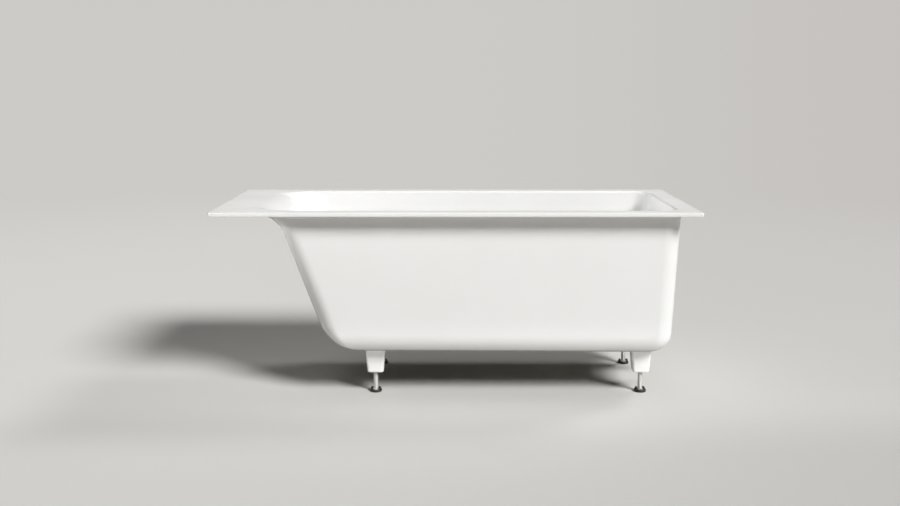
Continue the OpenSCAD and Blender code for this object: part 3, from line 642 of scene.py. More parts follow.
# %% Zinc plate and black plastic
def metal(name, base, roughness, cloud=0.04, scale=60.0, streak=None):
    """Bare or plated metal: cloudy tones and gloss, which a streak stretches along one axis."""
    made, tree, shader, place = material(name, base, roughness, metallic=1.0)
    patches = placed(tree, SOFT_PATCHES, Scale=scale)
    stretched = node(tree, "ShaderNodeMapping")
    stretched.inputs["Scale"].default_value = streak or (1, 1, 1)
    tree.links.new(place, stretched.inputs["Vector"])
    tree.links.new(stretched.outputs["Vector"], patches.inputs["Vector"])
    dark = tuple(v * (1 - 2 * cloud) for v in base)
    tree.links.new(mixed(tree, patches.outputs["Mask"], dark, base), shader.inputs["Base Color"])
    dull = ramp(tree, patches.outputs["Mask"], 0, 1, roughness * 0.8, roughness * 1.25)
    tree.links.new(dull, shader.inputs["Roughness"])
    fine = placed(tree, FINE_GRAIN, Scale=900.0, Depth=0.000008)
    tree.links.new(stretched.outputs["Vector"], fine.inputs["Vector"])
    tree.links.new(fine.outputs["Normal"], shader.inputs["Normal"])
    return made


def moulded(name, base, worn, roughness, scale=900.0, depth=0.00002, reach=0.0008):
    """Moulded plastic or rubber: a fine grain, soft patches and rubbed edges."""
    made, tree, shader, place = material(name, base, roughness)
    patches = placed(tree, SOFT_PATCHES, place, Scale=40.0).outputs["Mask"]
    edges = placed(tree, EDGE_MASK, Reach=reach).outputs["Mask"]
    soft = mixed(tree, patches, base, tuple(v * 1.12 for v in base))
    tree.links.new(mixed(tree, edges, soft, worn), shader.inputs["Base Color"])
    dull = ramp(tree, patches, 0, 1, roughness * 0.88, roughness * 1.1)
    tree.links.new(dull, shader.inputs["Roughness"])
    fine = placed(tree, FINE_GRAIN, place, Scale=scale, Depth=depth)
    tree.links.new(fine.outputs["Normal"], shader.inputs["Normal"])
    return made


ZINC = metal("zinc_plate", (0.61, 0.603, 0.586), 0.62, cloud=0.08, streak=(1, 1, 0.15))
PAD_BLACK = moulded("black_plastic", (0.011, 0.0105, 0.0095), (0.034, 0.033, 0.031), 0.6)

# %% [markdown]
# ## Threads that grow along a spiral
# A thread follows a rule, so Geometry Nodes draw it: a spiral curve with a diamond section swept
# along it. Half of the diamond sinks into the bolt's core, and the other half is the ridge. The
# same tree makes the coarse thread of a bolt and the fine thread of a waste neck.

# %% Thread tree
def thread_tree():
    tree = bpy.data.node_groups.new("thread", "GeometryNodeTree")
    tree.interface.new_socket("Geometry", in_out="OUTPUT", socket_type="NodeSocketGeometry")
    for name, value in {"Root radius": 0.007, "Depth": 0.001, "Pitch": 0.002, "Turns": 20.0}.items():
        tree.interface.new_socket(name, in_out="INPUT", socket_type="NodeSocketFloat").default_value = value
    tree.interface.new_socket("Steps", in_out="INPUT", socket_type="NodeSocketInt").default_value = 32
    tree.interface.new_socket("Material", in_out="INPUT", socket_type="NodeSocketMaterial")
    into, out = tree.nodes.new("NodeGroupInput"), tree.nodes.new("NodeGroupOutput")
    link = tree.links.new
    spiral = tree.nodes.new("GeometryNodeCurveSpiral")
    link(into.outputs["Steps"], spiral.inputs["Resolution"])
    link(into.outputs["Turns"], spiral.inputs["Rotations"])
    link(into.outputs["Root radius"], spiral.inputs["Start Radius"])
    link(into.outputs["Root radius"], spiral.inputs["End Radius"])
    link(times(tree, into.outputs["Pitch"], into.outputs["Turns"]), spiral.inputs["Height"])
    upright = tree.nodes.new("GeometryNodeSetCurveNormal")
    upright.mode = "Z_UP"
    link(spiral.outputs["Curve"], upright.inputs["Curve"])
    section = node(tree, "GeometryNodeCurvePrimitiveCircle", Resolution=4, Radius=1.0)
    half = node(tree, "ShaderNodeMath", operation="MULTIPLY")
    half.inputs[1].default_value = 0.5
    link(into.outputs["Pitch"], half.inputs[0])
    size = tree.nodes.new("ShaderNodeCombineXYZ")
    link(into.outputs["Depth"], size.inputs[0])
    link(half.outputs[0], size.inputs[1])
    size.inputs[2].default_value = 1.0
    scaled = tree.nodes.new("GeometryNodeTransform")
    link(section.outputs["Curve"], scaled.inputs["Geometry"])
    link(size.outputs[0], scaled.inputs["Scale"])
    sweep = tree.nodes.new("GeometryNodeCurveToMesh")
    sweep.inputs["Fill Caps"].default_value = True
    link(upright.outputs["Curve"], sweep.inputs["Curve"])
    link(scaled.outputs["Geometry"], sweep.inputs["Profile Curve"])
    real = tree.nodes.new("GeometryNodeRealizeInstances")
    link(sweep.outputs["Mesh"], real.inputs["Geometry"])
    finish = tree.nodes.new("GeometryNodeSetMaterial")
    link(real.outputs["Geometry"], finish.inputs["Geometry"])
    link(into.outputs["Material"], finish.inputs["Material"])
    link(finish.outputs["Geometry"], out.inputs["Geometry"])
    return tree


# %% Growing a tree into a plain mesh
def grown(name, tree, values, place=Matrix.Identity(4)):
    """Runs a tree with its inputs set by identifier, and returns the result as a plain mesh in place."""
    obj = bpy.data.objects.new(name, bpy.data.meshes.new(name))
    bpy.context.scene.collection.objects.link(obj)
    step = obj.modifiers.new("grow", "NODES")
    step.node_group = tree
    for item in tree.interface.items_tree:
        if item.item_type == "SOCKET" and item.in_out == "INPUT" and item.name in values:
            step[item.identifier] = values[item.name]
    baked(obj)
    obj.data.transform(metres(place))
    return obj


def metres(place):
    """The same placement with its shift in metres instead of millimetres."""
    made = place.copy()
    made.translation = place.translation * MM
    return made


THREAD = thread_tree()


def threaded(name, outer_r, pitch, depth, z0, z1, finish, place=Matrix.Identity(4), steps=32):
    """A thread's ridge between two heights, with its steps a turn."""
    at = place @ Matrix.Translation((0, 0, z0 + pitch / 2))
    values = {"Root radius": (outer_r - depth) * MM, "Depth": depth * MM, "Pitch": pitch * MM,
              "Turns": (z1 - z0) / pitch - 1, "Steps": steps, "Material": finish}
    return grown(name, THREAD, values, at)


# %% [markdown]
# ## Levelling feet
# Each foot is a fully threaded bolt that stands head down in a black pad. The head's corners are
# chamfered, as turned bar is. Two clips on the pad reach over the head and let it turn.

# %% Foot bolts
BOLT_R, BOLT_PITCH, THREAD_DEPTH = 8, 2, 0.8
HEAD_LOW, HEAD_TOP, HEAD_FLAT_R, HEAD_CORNER_R = 2.5, 11.5, 12, 13.86
BOLT_TOP, BOLT_TIP = 113.5, 2


def foot_bolt(name, x, y):
    place = Matrix.Translation((x, y, 0))
    root = BOLT_R - THREAD_DEPTH
    shank = [(0, 11), (root, 11), (root, BOLT_TOP - BOLT_TIP), (root - BOLT_TIP, BOLT_TOP), (0, BOLT_TOP)]
    core = spun(f"core_{name}", rounded(shank, 0.2), ZINC, place)
    ridge = threaded(f"ridge_{name}", BOLT_R, BOLT_PITCH, THREAD_DEPTH, 12, 112, ZINC, place)
    turned = [(0, HEAD_LOW), (11.2, HEAD_LOW), (HEAD_CORNER_R, 3.9), (HEAD_CORNER_R, 10.2),
              (11.6, HEAD_TOP), (0, HEAD_TOP)]
    head = spun(f"head_{name}", rounded(turned, 0.2, 2), ZINC, place, 96)
    hexagon = disc("hexagon", HEAD_FLAT_R / cos(pi / 6), HEAD_LOW - 0.5, HEAD_TOP + 0.5, (x, y, 0), sides=6)
    combine(head, [hexagon], "INTERSECT")
    bolt = joined(f"bolt_{name}", [core, ridge, head])
    return fitted(bolt, f"bolt_{name}", "zinc_steel", f"foot_bolt_{name}")


# %% Foot pads
PAD_R, PAD_H, CUP_R, CLIP_ARC = 20.5, 9, 14.26, 76
CUP_FLOOR = HEAD_LOW - 0.02


def foot_pad(name, x, y):
    place = Matrix.Translation((x, y, 0))
    dish = [(0, 0), (19.6, 0, 0.6), (PAD_R, 1.1, 0.5), (PAD_R, 5.6, 1.2), (18.6, PAD_H, 1.4),
            (CUP_R, PAD_H, 0.5), (CUP_R, CUP_FLOOR, 0.4), (0, CUP_FLOOR)]
    pieces = [spun(f"pad_{name}", rounded(dish), PAD_BLACK, place, 96)]
    clip = [(14.8, 8), (17.3, 8), (17.3, 12.9, 0.8), (15.7, 15.3, 1.0), (14.8, 15.35, 0.6),
            (10.1, 12.4, 0.4), (10.1, 11.85, 0.2), (14.8, 11.85, 0.2)]
    for turn in (0, 180):
        turned = place @ Matrix.Rotation(radians(turn - CLIP_ARC / 2), 4, "Z")
        ear = spun("clip", rounded(clip), PAD_BLACK, turned, 24, CLIP_ARC)
        soften = ear.modifiers.new("soften", "BEVEL")
        soften.width, soften.segments = 0.0005, 2
        soften.limit_method, soften.angle_limit = "ANGLE", radians(50)
        pieces.append(baked(ear))
    return fitted(joined(f"pad_{name}", pieces), f"pad_{name}", "pad_plastic", f"foot_pad_{name}")


for name, at in LEG_AT.items():
    foot_bolt(name, *at)
    foot_pad(name, *at)
print("feet:", len(LEG_AT))

# %% [markdown]
# ## Finishes of the fittings
# The plug and the knob are chromed, the flanges are polished steel, and the stem and the lever are
# plain stainless bar. The bodies, pipes and nuts are white moulded plastic, and the seals are black
# rubber with the matt bloom of the mould.

# %% Fittings' finishes
BRASS = metal("brass", (0.76, 0.58, 0.30), 0.28, cloud=0.06)
POLISHED = metal("polished_steel", (0.70, 0.69, 0.67), 0.13, cloud=0.02)
CHROME = metal("chrome_plate", (0.80, 0.81, 0.83), 0.06, cloud=0.01)
STAINLESS = metal("stainless_bar", (0.60, 0.59, 0.57), 0.28, cloud=0.05, streak=(1, 1, 0.1))
RUBBER = moulded("black_rubber", (0.018, 0.018, 0.019), (0.06, 0.06, 0.06), 0.62, 600.0, 0.00003)
WHITE = moulded("white_plastic", (0.71, 0.705, 0.69), (0.80, 0.80, 0.79), 0.34)
SHEATH = moulded("cable_sheath", (0.035, 0.035, 0.037), (0.09, 0.09, 0.09), 0.4)

# %% [markdown]
# ## Copies in a ring
# Grip ribs, gussets and knurls repeat round an axis, so Geometry Nodes place them: the points of a
# circle each carry one copy of a small piece, turned to face outwards.

# %% Ring tree
def ring_tree():
    tree = bpy.data.node_groups.new("ring of copies", "GeometryNodeTree")
    tree.interface.new_socket("Geometry", in_out="OUTPUT", socket_type="NodeSocketGeometry")
    tree.interface.new_socket("Piece", in_out="INPUT", socket_type="NodeSocketObject")
    tree.interface.new_socket("Count", in_out="INPUT", socket_type="NodeSocketInt")
    tree.interface.new_socket("Radius", in_out="INPUT", socket_type="NodeSocketFloat")
    tree.interface.new_socket("Material", in_out="INPUT", socket_type="NodeSocketMaterial")
    into, out = tree.nodes.new("NodeGroupInput"), tree.nodes.new("NodeGroupOutput")
    link = tree.links.new
    circle = tree.nodes.new("GeometryNodeMeshCircle")
    link(into.outputs["Count"], circle.inputs["Vertices"])
    link(into.outputs["Radius"], circle.inputs["Radius"])
    piece = tree.nodes.new("GeometryNodeObjectInfo")
    link(into.outputs["Piece"], piece.inputs["Object"])
    share = node(tree, "ShaderNodeMath", operation="DIVIDE")
    share.inputs[0].default_value = 2 * pi
    link(into.outputs["Count"], share.inputs[1])
    index = tree.nodes.new("GeometryNodeInputIndex").outputs[0]
    turn = tree.nodes.new("ShaderNodeCombineXYZ")
    link(times(tree, index, share.outputs[0]), turn.inputs[2])
    copies = tree.nodes.new("GeometryNodeInstanceOnPoints")
    link(circle.outputs["Mesh"], copies.inputs["Points"])
    link(piece.outputs["Geometry"], copies.inputs["Instance"])
    link(turn.outputs[0], copies.inputs["Rotation"])
    real = tree.nodes.new("GeometryNodeRealizeInstances")
    link(copies.outputs["Instances"], real.inputs["Geometry"])
    finish = tree.nodes.new("GeometryNodeSetMaterial")
    link(real.outputs["Geometry"], finish.inputs["Geometry"])
    link(into.outputs["Material"], finish.inputs["Material"])
    link(finish.outputs["Geometry"], out.inputs["Geometry"])
    return tree


RING = ring_tree()


def copies(piece, count, radius, finish, place):
    """Copies of a piece in a ring, as one mesh. The piece itself is used up."""
    values = {"Piece": piece, "Count": count, "Radius": radius * MM, "Material": finish}
    made = grown("copies", RING, values, place)
    bpy.data.objects.remove(piece)
    return made


# %% Small blocks
def block(size, at, finish, bevel=0.4, place=Matrix.Identity(4)):
    """A box with rounded edges, by its size and its middle in millimetres."""
    x, y, z = (v / 2 for v in size)
    corners = [Vector((i * x, j * y, k * z)) for i in (-1, 1) for j in (-1, 1) for k in (-1, 1)]
    points = [(place @ (Vector(at) + one)) * MM for one in corners]
    faces = [(0, 1, 3, 2), (4, 6, 7, 5), (0, 4, 5, 1), (2, 3, 7, 6), (0, 2, 6, 4), (1, 5, 7, 3)]
    obj = new_mesh_object("block", points, faces, finish)
    step = obj.modifiers.new("soften", "BEVEL")
    step.width, step.segments = bevel * MM, 2
    return baked(obj)


def gusset(reach, drop, width, finish):
    """A three-cornered rib that stands on a wall under a collar."""
    flat = [(0, 0), (reach, 0), (reach, -1.2), (0, -drop)]
    points = [(x * MM, y * MM, z * MM) for y in (-width / 2, width / 2) for x, z in flat]
    faces = [(0, 1, 2, 3), (7, 6, 5, 4), (0, 4, 5, 1), (1, 5, 6, 2), (2, 6, 7, 3), (3, 7, 4, 0)]
    return outward(new_mesh_object("gusset", points, faces, finish))


SCREW_R, SOCKET_R = 2.2, 1.21


def screw(place):
    """A small screw head with a six-sided socket, standing on the plane of its place."""
    outline = [(0, -1), (SCREW_R, -1), (SCREW_R, 0.9, 0.8), (0, 1.5, 0.3)]
    head = spun("screw", rounded(outline, 0.2), STAINLESS, place, 24)
    socket = spun("socket", [(0, 0.5), (SOCKET_R, 0.5), (SOCKET_R, 2), (0, 2)], STAINLESS, place, 6)
    combine(head, [socket], "DIFFERENCE")
    return head


# %% [markdown]
# ## Waste: flange, seals and plug
# The flange is a thin polished plate with a cone for the plug's seal. Its neck runs down through
# the tub and screws into the body below. Three arms hold the hub that guides the stem. The plug is
# a shallow dome over a skirt, and its round seal sits in a groove.

# %% Waste flange
BELOW = Matrix.Translation(WASTE_AT)
NECK_OUT, NECK_IN, NECK_MIDDLE, NECK_THREAD_R = 23.1, 21.5, 22.5, 24
NECK_PITCH, FITTING_THREAD_DEPTH = 1.5, 0.85
ARM_ANGLES, ARM_T = (60, 180, 300), 3


def hub(name, r_hub, r_hole, z0, z1, place):
    """A guide hub on three arms that reach into the neck's wall."""
    outline = [(r_hole, z0), (r_hub, z0), (r_hub, z1, 0.8), (r_hole, z1)]
    made = [spun(name, rounded(outline, 0.3), POLISHED, place, 48)]
    size = (NECK_MIDDLE - r_hub + 1, ARM_T, z1 - z0)
    middle = ((NECK_MIDDLE + r_hub) / 2, 0, (z0 + z1) / 2)
    for a in ARM_ANGLES:
        made.append(block(size, middle, POLISHED, 0.5, place @ Matrix.Rotation(radians(a), 4, "Z")))
    return made


def neck_thread(name, z0, z1, place):
    """The fine thread round a flange's neck."""
    return threaded(name, NECK_THREAD_R, NECK_PITCH, FITTING_THREAD_DEPTH, z0, z1, POLISHED, place, 96)


flange = [(NECK_IN, 135.1), (NECK_OUT, 135.1), (NECK_OUT, 157.5, 0.2), (25.6, 157), (25.6, 163, 0.1),
          (35, 163, 0.3), (35, 164.4, 0.5), (33.6, 165, 1.6), (25.6, 165, 1.2), (NECK_IN, 160.9, 2)]
pieces = [spun("waste_flange", rounded(flange, 0.3, 4), POLISHED, BELOW, 128)]
pieces += hub("hub", 6, 3.05, 148, 155, BELOW)
pieces.append(neck_thread("neck_thread", 135.4, 156.8, BELOW))
fitted(joined("waste_flange", pieces), "tub", "polished_flange", "waste_flange")

# %% Waste seals
LIP_W, LIP_H = 0.6, 0.15
COLLAR_R = 37.5


def flat_seal(name, r0, r1, z0, z1, place, *nodes):
    """A flat rubber ring with two fine sealing lips on each face."""
    low = [(r0, z0)]
    for share in (0.3, 0.7):
        r = r0 + (r1 - r0) * share
        low += [(r - LIP_W, z0 + LIP_H), (r, z0, 0.1), (r + LIP_W, z0 + LIP_H)]
    low.append((r1, z0))
    high = [(r, z1 - (z - z0)) for r, z, *_ in reversed(low)]
    seal = spun(name, rounded(low + high, 0.25), RUBBER, place, 96)
    return fitted(seal, "tub", "seal_rubber", *nodes)


flat_seal("waste_flange_seal", HOLE_R, 34, RECESS_Z, 163, BELOW, "waste_flange_seal")
flat_seal("waste_body_seal", HOLE_R, COLLAR_R, 147.1, SEAT_Z, BELOW, "waste_body_seal")

# %% Plug
PLUG_R, DOME_Z, DOME_H, STEM_R, STEM_LOW, STEM_TOP = 31, 167.4, 2, 3, 112.95, 166.4
PLUG_RING_R, PLUG_RING_Z = 19.68, 162.5


def arc(r, z, high, wide, angles):
    """Points of an ellipse about a point of the profile, at angles in degrees."""
    return [(r + wide * cos(radians(a)), z + high * sin(radians(a))) for a in angles]


dome = arc(0, DOME_Z, DOME_H, PLUG_R, range(0, 90, 3)) + [(0, DOME_Z + DOME_H)]
groove = arc(PLUG_RING_R, PLUG_RING_Z, 2.05, 2.05, range(95, 266, 10))
skirt = [(0, STEM_TOP), (3.02, STEM_TOP), (3.02, 158.5, 0.3), (19.5, 158.5, 0.6)]
brim = [(19.5, 164.6), (19.5, 165.4, 0.3), (30.3, 165.4), (PLUG_R, 166, 0.5), (PLUG_R, 167.2)]
cap = rounded(skirt) + groove[::-1] + rounded(brim, 0.2)[1:] + dome
fitted(spun("plug_cap", cap, CHROME, BELOW, 144), "plug", "chrome_plate", "plug_cap")
ring_profile = arc(PLUG_RING_R, PLUG_RING_Z, 2, 2, range(0, 360, 15))
fitted(spun("plug_seal", ring_profile, RUBBER, BELOW, 96), "plug", "seal_rubber", "plug_seal")
bar = [(0, STEM_LOW), (STEM_R, STEM_LOW, 1.5), (STEM_R, STEM_TOP), (0, STEM_TOP)]
stem = spun("plug_stem", rounded(bar, 0.3, 5), STAINLESS, BELOW, 40)
six_sided = [(3, 155.3), (5.2, 155.3), (5.7, 155.8), (5.7, 157.9), (5.2, 158.4), (3, 158.4)]
nut = spun("lock_nut", rounded(six_sided, 0.1, 1), STAINLESS, BELOW, 6)
fitted(joined("plug_stem", [stem, nut]), "plug", "stainless_steel", "plug_stem")

# %% [markdown]
# ## Waste body
# The body under the tub is one moulding. Its solids are rounded before they are joined, and its
# hollows are cut last. Gussets stiffen the collar.

# %% Waste body
PIPE_Z, LEVER_X, LEVER_Z = 121.1, 620, 110.1
AHEAD = Matrix.Rotation(radians(90), 4, "Y")
FRONTWARD = Matrix.Rotation(radians(90), 4, "X")
BACKWARD = Matrix.Rotation(radians(-90), 4, "Y")
AT_OUTLET = Matrix.Translation((WASTE_X, 0, PIPE_Z)) @ BACKWARD
AT_SOCKET = Matrix.Translation((WASTE_X, 0, PIPE_Z)) @ AHEAD
AT_LEVER = Matrix.Translation((LEVER_X, 0, LEVER_Z)) @ FRONTWARD
AT_COVER = Matrix.Translation((LEVER_X, 0, PIPE_Z)) @ FRONTWARD


def solid(profile, place, r=0.5, steps=96):
    """A turned solid of white plastic, for joining and cutting."""
    return spun("solid", rounded(profile, r), WHITE, place, steps)


chamber = solid([(0, 97.1), (31, 97.1, 4), (31, 142.1, 0.8), (COLLAR_R, 142.1, 0.6),
                 (COLLAR_R, 147.1, 0.5), (0, 147.1)], BELOW, 0.5, 128)
socket = solid([(0, 10), (19.5, 10), (19.5, 57, 0.6), (0, 57)], AT_SOCKET)
outlet = solid([(0, 5), (25.4, 5), (25.4, 38.5, 1), (23.1, 38.5, 0.3), (23.1, 56.5, 0.6), (0, 56.5)],
               AT_OUTLET)
lever_seat = solid([(0, 5), (7.5, 5), (7.5, 31, 0.2), (0, 31)], AT_LEVER, steps=48)
cover_seat = solid([(0, 27.2), (17.9, 27.2), (17.9, 32, 0.4), (0, 32)], AT_COVER)
combine(chamber, [socket, outlet, lever_seat, cover_seat], "UNION")

chamber_way = solid([(0, 100.1), (27, 100.1, 3), (27, 134.1, 0.5), (24.05, 134.1, 0.2), (24.05, 148),
                     (0, 148)], BELOW, 0.3)
outlet_way = solid([(0, 0), (20, 0), (20, 55.9, 0.2), (20.6, 57.5), (0, 57.5)], AT_OUTLET, 0.2)
socket_way = solid([(0, 0), (14, 0), (14, 36.9, 0.2), (16.1, 37, 0.2), (16.1, 56), (17, 58), (0, 58)],
                   AT_SOCKET, 0.2)
lever_way = solid([(0, 0), (3.05, 0), (3.05, 28, 0), (5, 28, 0), (5, 33), (0, 33)], AT_LEVER, 0.1, 40)
combine(chamber, [chamber_way, outlet_way, socket_way, lever_way], "DIFFERENCE")

# %% Outlet thread and gussets
thread = threaded("outlet_thread", 23.9, 2, FITTING_THREAD_DEPTH, 40, 55.7, WHITE, AT_OUTLET, 96)
under_collar = Matrix.Translation((WASTE_X, 0, 142.4)) @ Matrix.Rotation(radians(15), 4, "Z")
gussets = copies(gusset(6.4, 10, 2, WHITE), 12, 30.8, WHITE, under_collar)
fitted(joined("waste_body", [chamber, thread, gussets]), "tub", "white_plastic", "waste_body")

# %% [markdown]
# ## Lift lever and its cover
# A spindle runs through the body's wall. Its arm lifts the stem, and its crank is pulled by the
# cable behind a round cover, which is pressed over a step of the body and held by two screws.

# %% Lever
spindle_bar = rounded([(0, -6), (3, -6, 0.6), (3, 37.5, 0.6), (0, 37.5)], 0.4)
spindle = spun("lift_lever", spindle_bar, STAINLESS, AT_LEVER, 40)
lever_place = Matrix.Translation((LEVER_X, 0, LEVER_Z))
arm = block((22, 8, 5), (-11, 0, 0), STAINLESS, 1.0, lever_place)
crank = block((5, 4, 13), (0, -35.5, 6.5), STAINLESS, 0.8, lever_place)
fitted(joined("lift_lever", [spindle, arm, crank]), "lever", "stainless_steel", "lift_lever")
seal = spun("lever_seal", rounded([(3.05, 28), (5, 28), (5, 31), (3.05, 31)], 0.5), RUBBER, AT_LEVER, 40)
fitted(seal, "tub", "seal_rubber", "lever_seal")

# %% Lever cover
CABLE_Y, GLAND_R, WIRE_WAY_R, SHEATH_WAY_R = -36, 5.5, 2, 3.1

cover = solid([(0, 31), (20, 31, 0.3), (20, 42.5, 1.8), (0, 42.5)], AT_COVER)
gland_place = Matrix.Translation((LEVER_X, CABLE_Y, PIPE_Z)) @ AHEAD
gland = solid([(0, 8), (GLAND_R, 8), (GLAND_R, 32, 0.8), (0, 32)], gland_place, steps=48)
combine(cover, [gland], "UNION")
hollow = solid([(0, 30), (18, 30), (18, 40.5, 1), (0, 40.5)], AT_COVER, 0.2)
wire_way = solid([(0, 0), (WIRE_WAY_R, 0), (WIRE_WAY_R, 33), (0, 33)], gland_place, 0, 32)
sheath_way = solid([(0, 22), (SHEATH_WAY_R, 22), (SHEATH_WAY_R, 33), (0, 33)], gland_place, 0, 40)
combine(cover, [hollow, wire_way, sheath_way], "DIFFERENCE")
rib = disc("rib", 0.7, 0.4, 8.4, (0, 0, 0), sides=8)
grips = copies(rib, 32, 19.75, WHITE, AT_COVER @ Matrix.Translation((0, 0, 32)))
screws = [screw(AT_COVER @ Matrix.Translation((x, y, 42.5))) for x, y in ((-11, 9), (11, -9))]
fitted(joined("lever_cover", [cover, grips] + screws), "tub", "white_plastic", "lever_cover")

# %% [markdown]
# ## Overflow
# The overflow stands square to the leaning end wall, so all of it is made in one turned frame. The
# face and its seal are inside the tub, and the body is outside. Water passes behind the knob.

# %% Overflow face, seals and knob
OVER = Matrix.Translation(OVERFLOW_AT) @ OVERFLOW_TURN
INWARD = OVER @ Matrix.Rotation(pi, 4, "X")
FACE_LOW, FACE_TOP = 17.56, 19.56

face = [(NECK_IN, -8), (NECK_OUT, -8), (NECK_OUT, 17.2, 0.2), (24, FACE_LOW, 0.1), (33, FACE_LOW, 0.2),
        (33, 18.76, 0.5), (31.8, FACE_TOP, 0.8), (NECK_IN, FACE_TOP, 0.8)]
pieces = [spun("overflow_face", rounded(face, 0.3), POLISHED, INWARD, 128)]
pieces += hub("over_hub", 8, 5.05, 11.56, FACE_TOP, INWARD)
pieces.append(neck_thread("face_thread", -7.6, 16.6, INWARD))
fitted(joined("overflow_face", pieces), "tub", "polished_flange", "overflow_face")
flat_seal("overflow_face_seal", HOLE_R, 32, 16.06, FACE_LOW, INWARD, "overflow_face_seal")
flat_seal("overflow_body_seal", HOLE_R, COLLAR_R, 0, 3, OVER, "overflow_body_seal")

# %% Knob, spindle and drum
KNOB_SIDE_R, SPINDLE_R, SPINDLE_TOP, SPINDLE_LOW = 34.3, 5, 31.06, -45.5

knob = [(0, SPINDLE_TOP), (5.02, SPINDLE_TOP), (5.02, 26.56, 0.4), (32, 26.56, 1),
        (KNOB_SIDE_R, 28.56, 1.5), (KNOB_SIDE_R, 32.66, 0.5), (35, 32.86, 0.3), (35, 33.46, 0.6),
        (33, 35.26, 2.5), (28, 35.51, 3), (18, 35.16, 6), (0, 35.06)]
knob_disc = spun("overflow_knob", rounded(knob, 0.3, 5), CHROME, INWARD, 144)
ridge = disc("knurl", 0.55, 0, 3.2, (0, 0, 0), sides=6)
knurl = copies(ridge, 90, KNOB_SIDE_R, CHROME, INWARD @ Matrix.Translation((0, 0, 29.26)))
fitted(joined("overflow_knob", [knob_disc, knurl]), "knob", "chrome_plate", "overflow_knob")
bar = [(0, SPINDLE_LOW), (SPINDLE_R, SPINDLE_LOW, 1), (SPINDLE_R, SPINDLE_TOP, 0.5), (0, SPINDLE_TOP)]
spindle = spun("knob_spindle", rounded(bar, 0.4), STAINLESS, INWARD, 48)
fitted(spindle, "knob", "stainless_steel", "knob_spindle")
drum = [(5, 12), (14, 12, 0.6), (14, 14, 0.4), (11.8, 16, 1.4), (14, 18, 0.4), (14, 20, 0.6), (5, 20)]
fitted(spun("cable_drum", rounded(drum, 0.3), WHITE, OVER, 64), "knob", "white_plastic", "cable_drum")

# %% Overflow body
PIPE_OUT, CABLE_OUT = 27, 15


def down_at(y, out):
    """Frame that runs down beside the end wall, at a place across it and a distance out of it."""
    return OVER @ Matrix.Translation((0, y, out)) @ AHEAD


at_pipe, at_cable = down_at(0, PIPE_OUT), down_at(CABLE_Y, CABLE_OUT)
chamber = solid([(0, 3), (COLLAR_R, 3, 0.5), (COLLAR_R, 8, 0.6), (27, 8, 0.6), (27, 12, 0.8),
                 (23, 12, 0.5), (23, 47, 1.5), (0, 47)], OVER, 0.5, 128)
cable_box = block((28, 42, 21), (0, -21, 13.5), WHITE, 1.6, OVER)
socket = solid([(0, 0.5), (19.5, 0.5), (19.5, 50, 0.6), (0, 50)], at_pipe)
gland = solid([(0, 2), (GLAND_R, 2), (GLAND_R, 24, 0.8), (0, 24)], at_cable, steps=48)
combine(chamber, [socket, cable_box, gland], "UNION")

neck_way = solid([(0, 2), (24.05, 2), (24.05, 8), (0, 8)], OVER, 0)
chamber_way = solid([(0, 3), (20, 3), (20, 44, 1), (0, 44)], OVER, 0.1)
spindle_seat = solid([(0, 42.5), (5.05, 42.5), (5.05, 45.6), (0, 45.6)], OVER, 0, 48)
socket_way = solid([(0, 0), (14, 0), (14, 51), (0, 51)], at_pipe, 0)
pipe_seat = solid([(0, 30), (16.1, 30), (16.1, 60), (0, 60)], at_pipe, 0)
box_way = block((24, 36, 14), (0, -22, 15), WHITE, 1, OVER)
wire_way = solid([(0, 0), (WIRE_WAY_R, 0), (WIRE_WAY_R, 25), (0, 25)], at_cable, 0, 32)
sheath_way = solid([(0, 14), (SHEATH_WAY_R, 14), (SHEATH_WAY_R, 25), (0, 25)], at_cable, 0, 40)
combine(chamber, [neck_way, chamber_way, spindle_seat, socket_way, pipe_seat, box_way, wire_way,
                  sheath_way], "DIFFERENCE")

# %% Gussets, screws and cap
behind_collar = OVER @ Matrix.Translation((0, 0, 8)) @ Matrix.Rotation(pi, 4, "X")
pieces = [chamber, copies(gusset(9.6, 5, 2, WHITE), 14, 27, WHITE, behind_collar)]
pieces += [screw(OVER @ Matrix.Translation((x, y, 24))) for x, y in ((-9, -27), (9, -33))]
fitted(joined("overflow_body", pieces), "tub", "white_plastic", "overflow_body")
cap = spun("drum_cap", rounded([(0, 47), (19, 47), (19, 48.5, 0.6), (0, 48.5)], 0.2), WHITE, OVER, 96)
slot = block((24, 3, 2), (0, 0, 48.6), WHITE, 0.3, OVER)
combine(cap, [slot], "DIFFERENCE")
fitted(cap, "tub", "white_plastic", "drum_cap")

# %% [markdown]
# ## Pipe, elbow and cable
# The pipe runs straight down beside the end wall. The elbow and the cable follow a path: level
# under the tub, round a bend, then up beside the wall. A profile of radius and way is turned about
# that path, so that sockets and beads fall where they should.

# %% Paths
LEAN = radians(SIDE_LEAN)
BEND_R = 60
BEND_BACK = BEND_R / tan((pi / 2 + LEAN) / 2)


def run_down(out):
    """The way beside the end wall from the overflow down to the level run, at a distance out of it."""
    return (OVERFLOW_AT[2] - out * sin(LEAN) - PIPE_Z) / cos(LEAN)


def path_from(x, y, out):
    """The path's frames, and the ways to the start and the end of its bend. It starts level at x."""
    middle = OVERFLOW_AT[0] + out * cos(LEAN) - run_down(out) * sin(LEAN) - BEND_BACK
    level, bend = middle - x, BEND_R * (pi / 2 - LEAN)

    def path(way):
        a = min(max(0, way - level) / BEND_R, pi / 2 - LEAN)
        along, up = min(way, level), max(0, way - level - bend)
        at_x = x + along + BEND_R * sin(a) + up * cos(a)
        at_z = PIPE_Z + BEND_R * (1 - cos(a)) + up * sin(a)
        return Matrix.Translation((at_x, y, at_z)) @ Matrix.Rotation(pi / 2 - a, 4, "Y")
    return path, level, level + bend


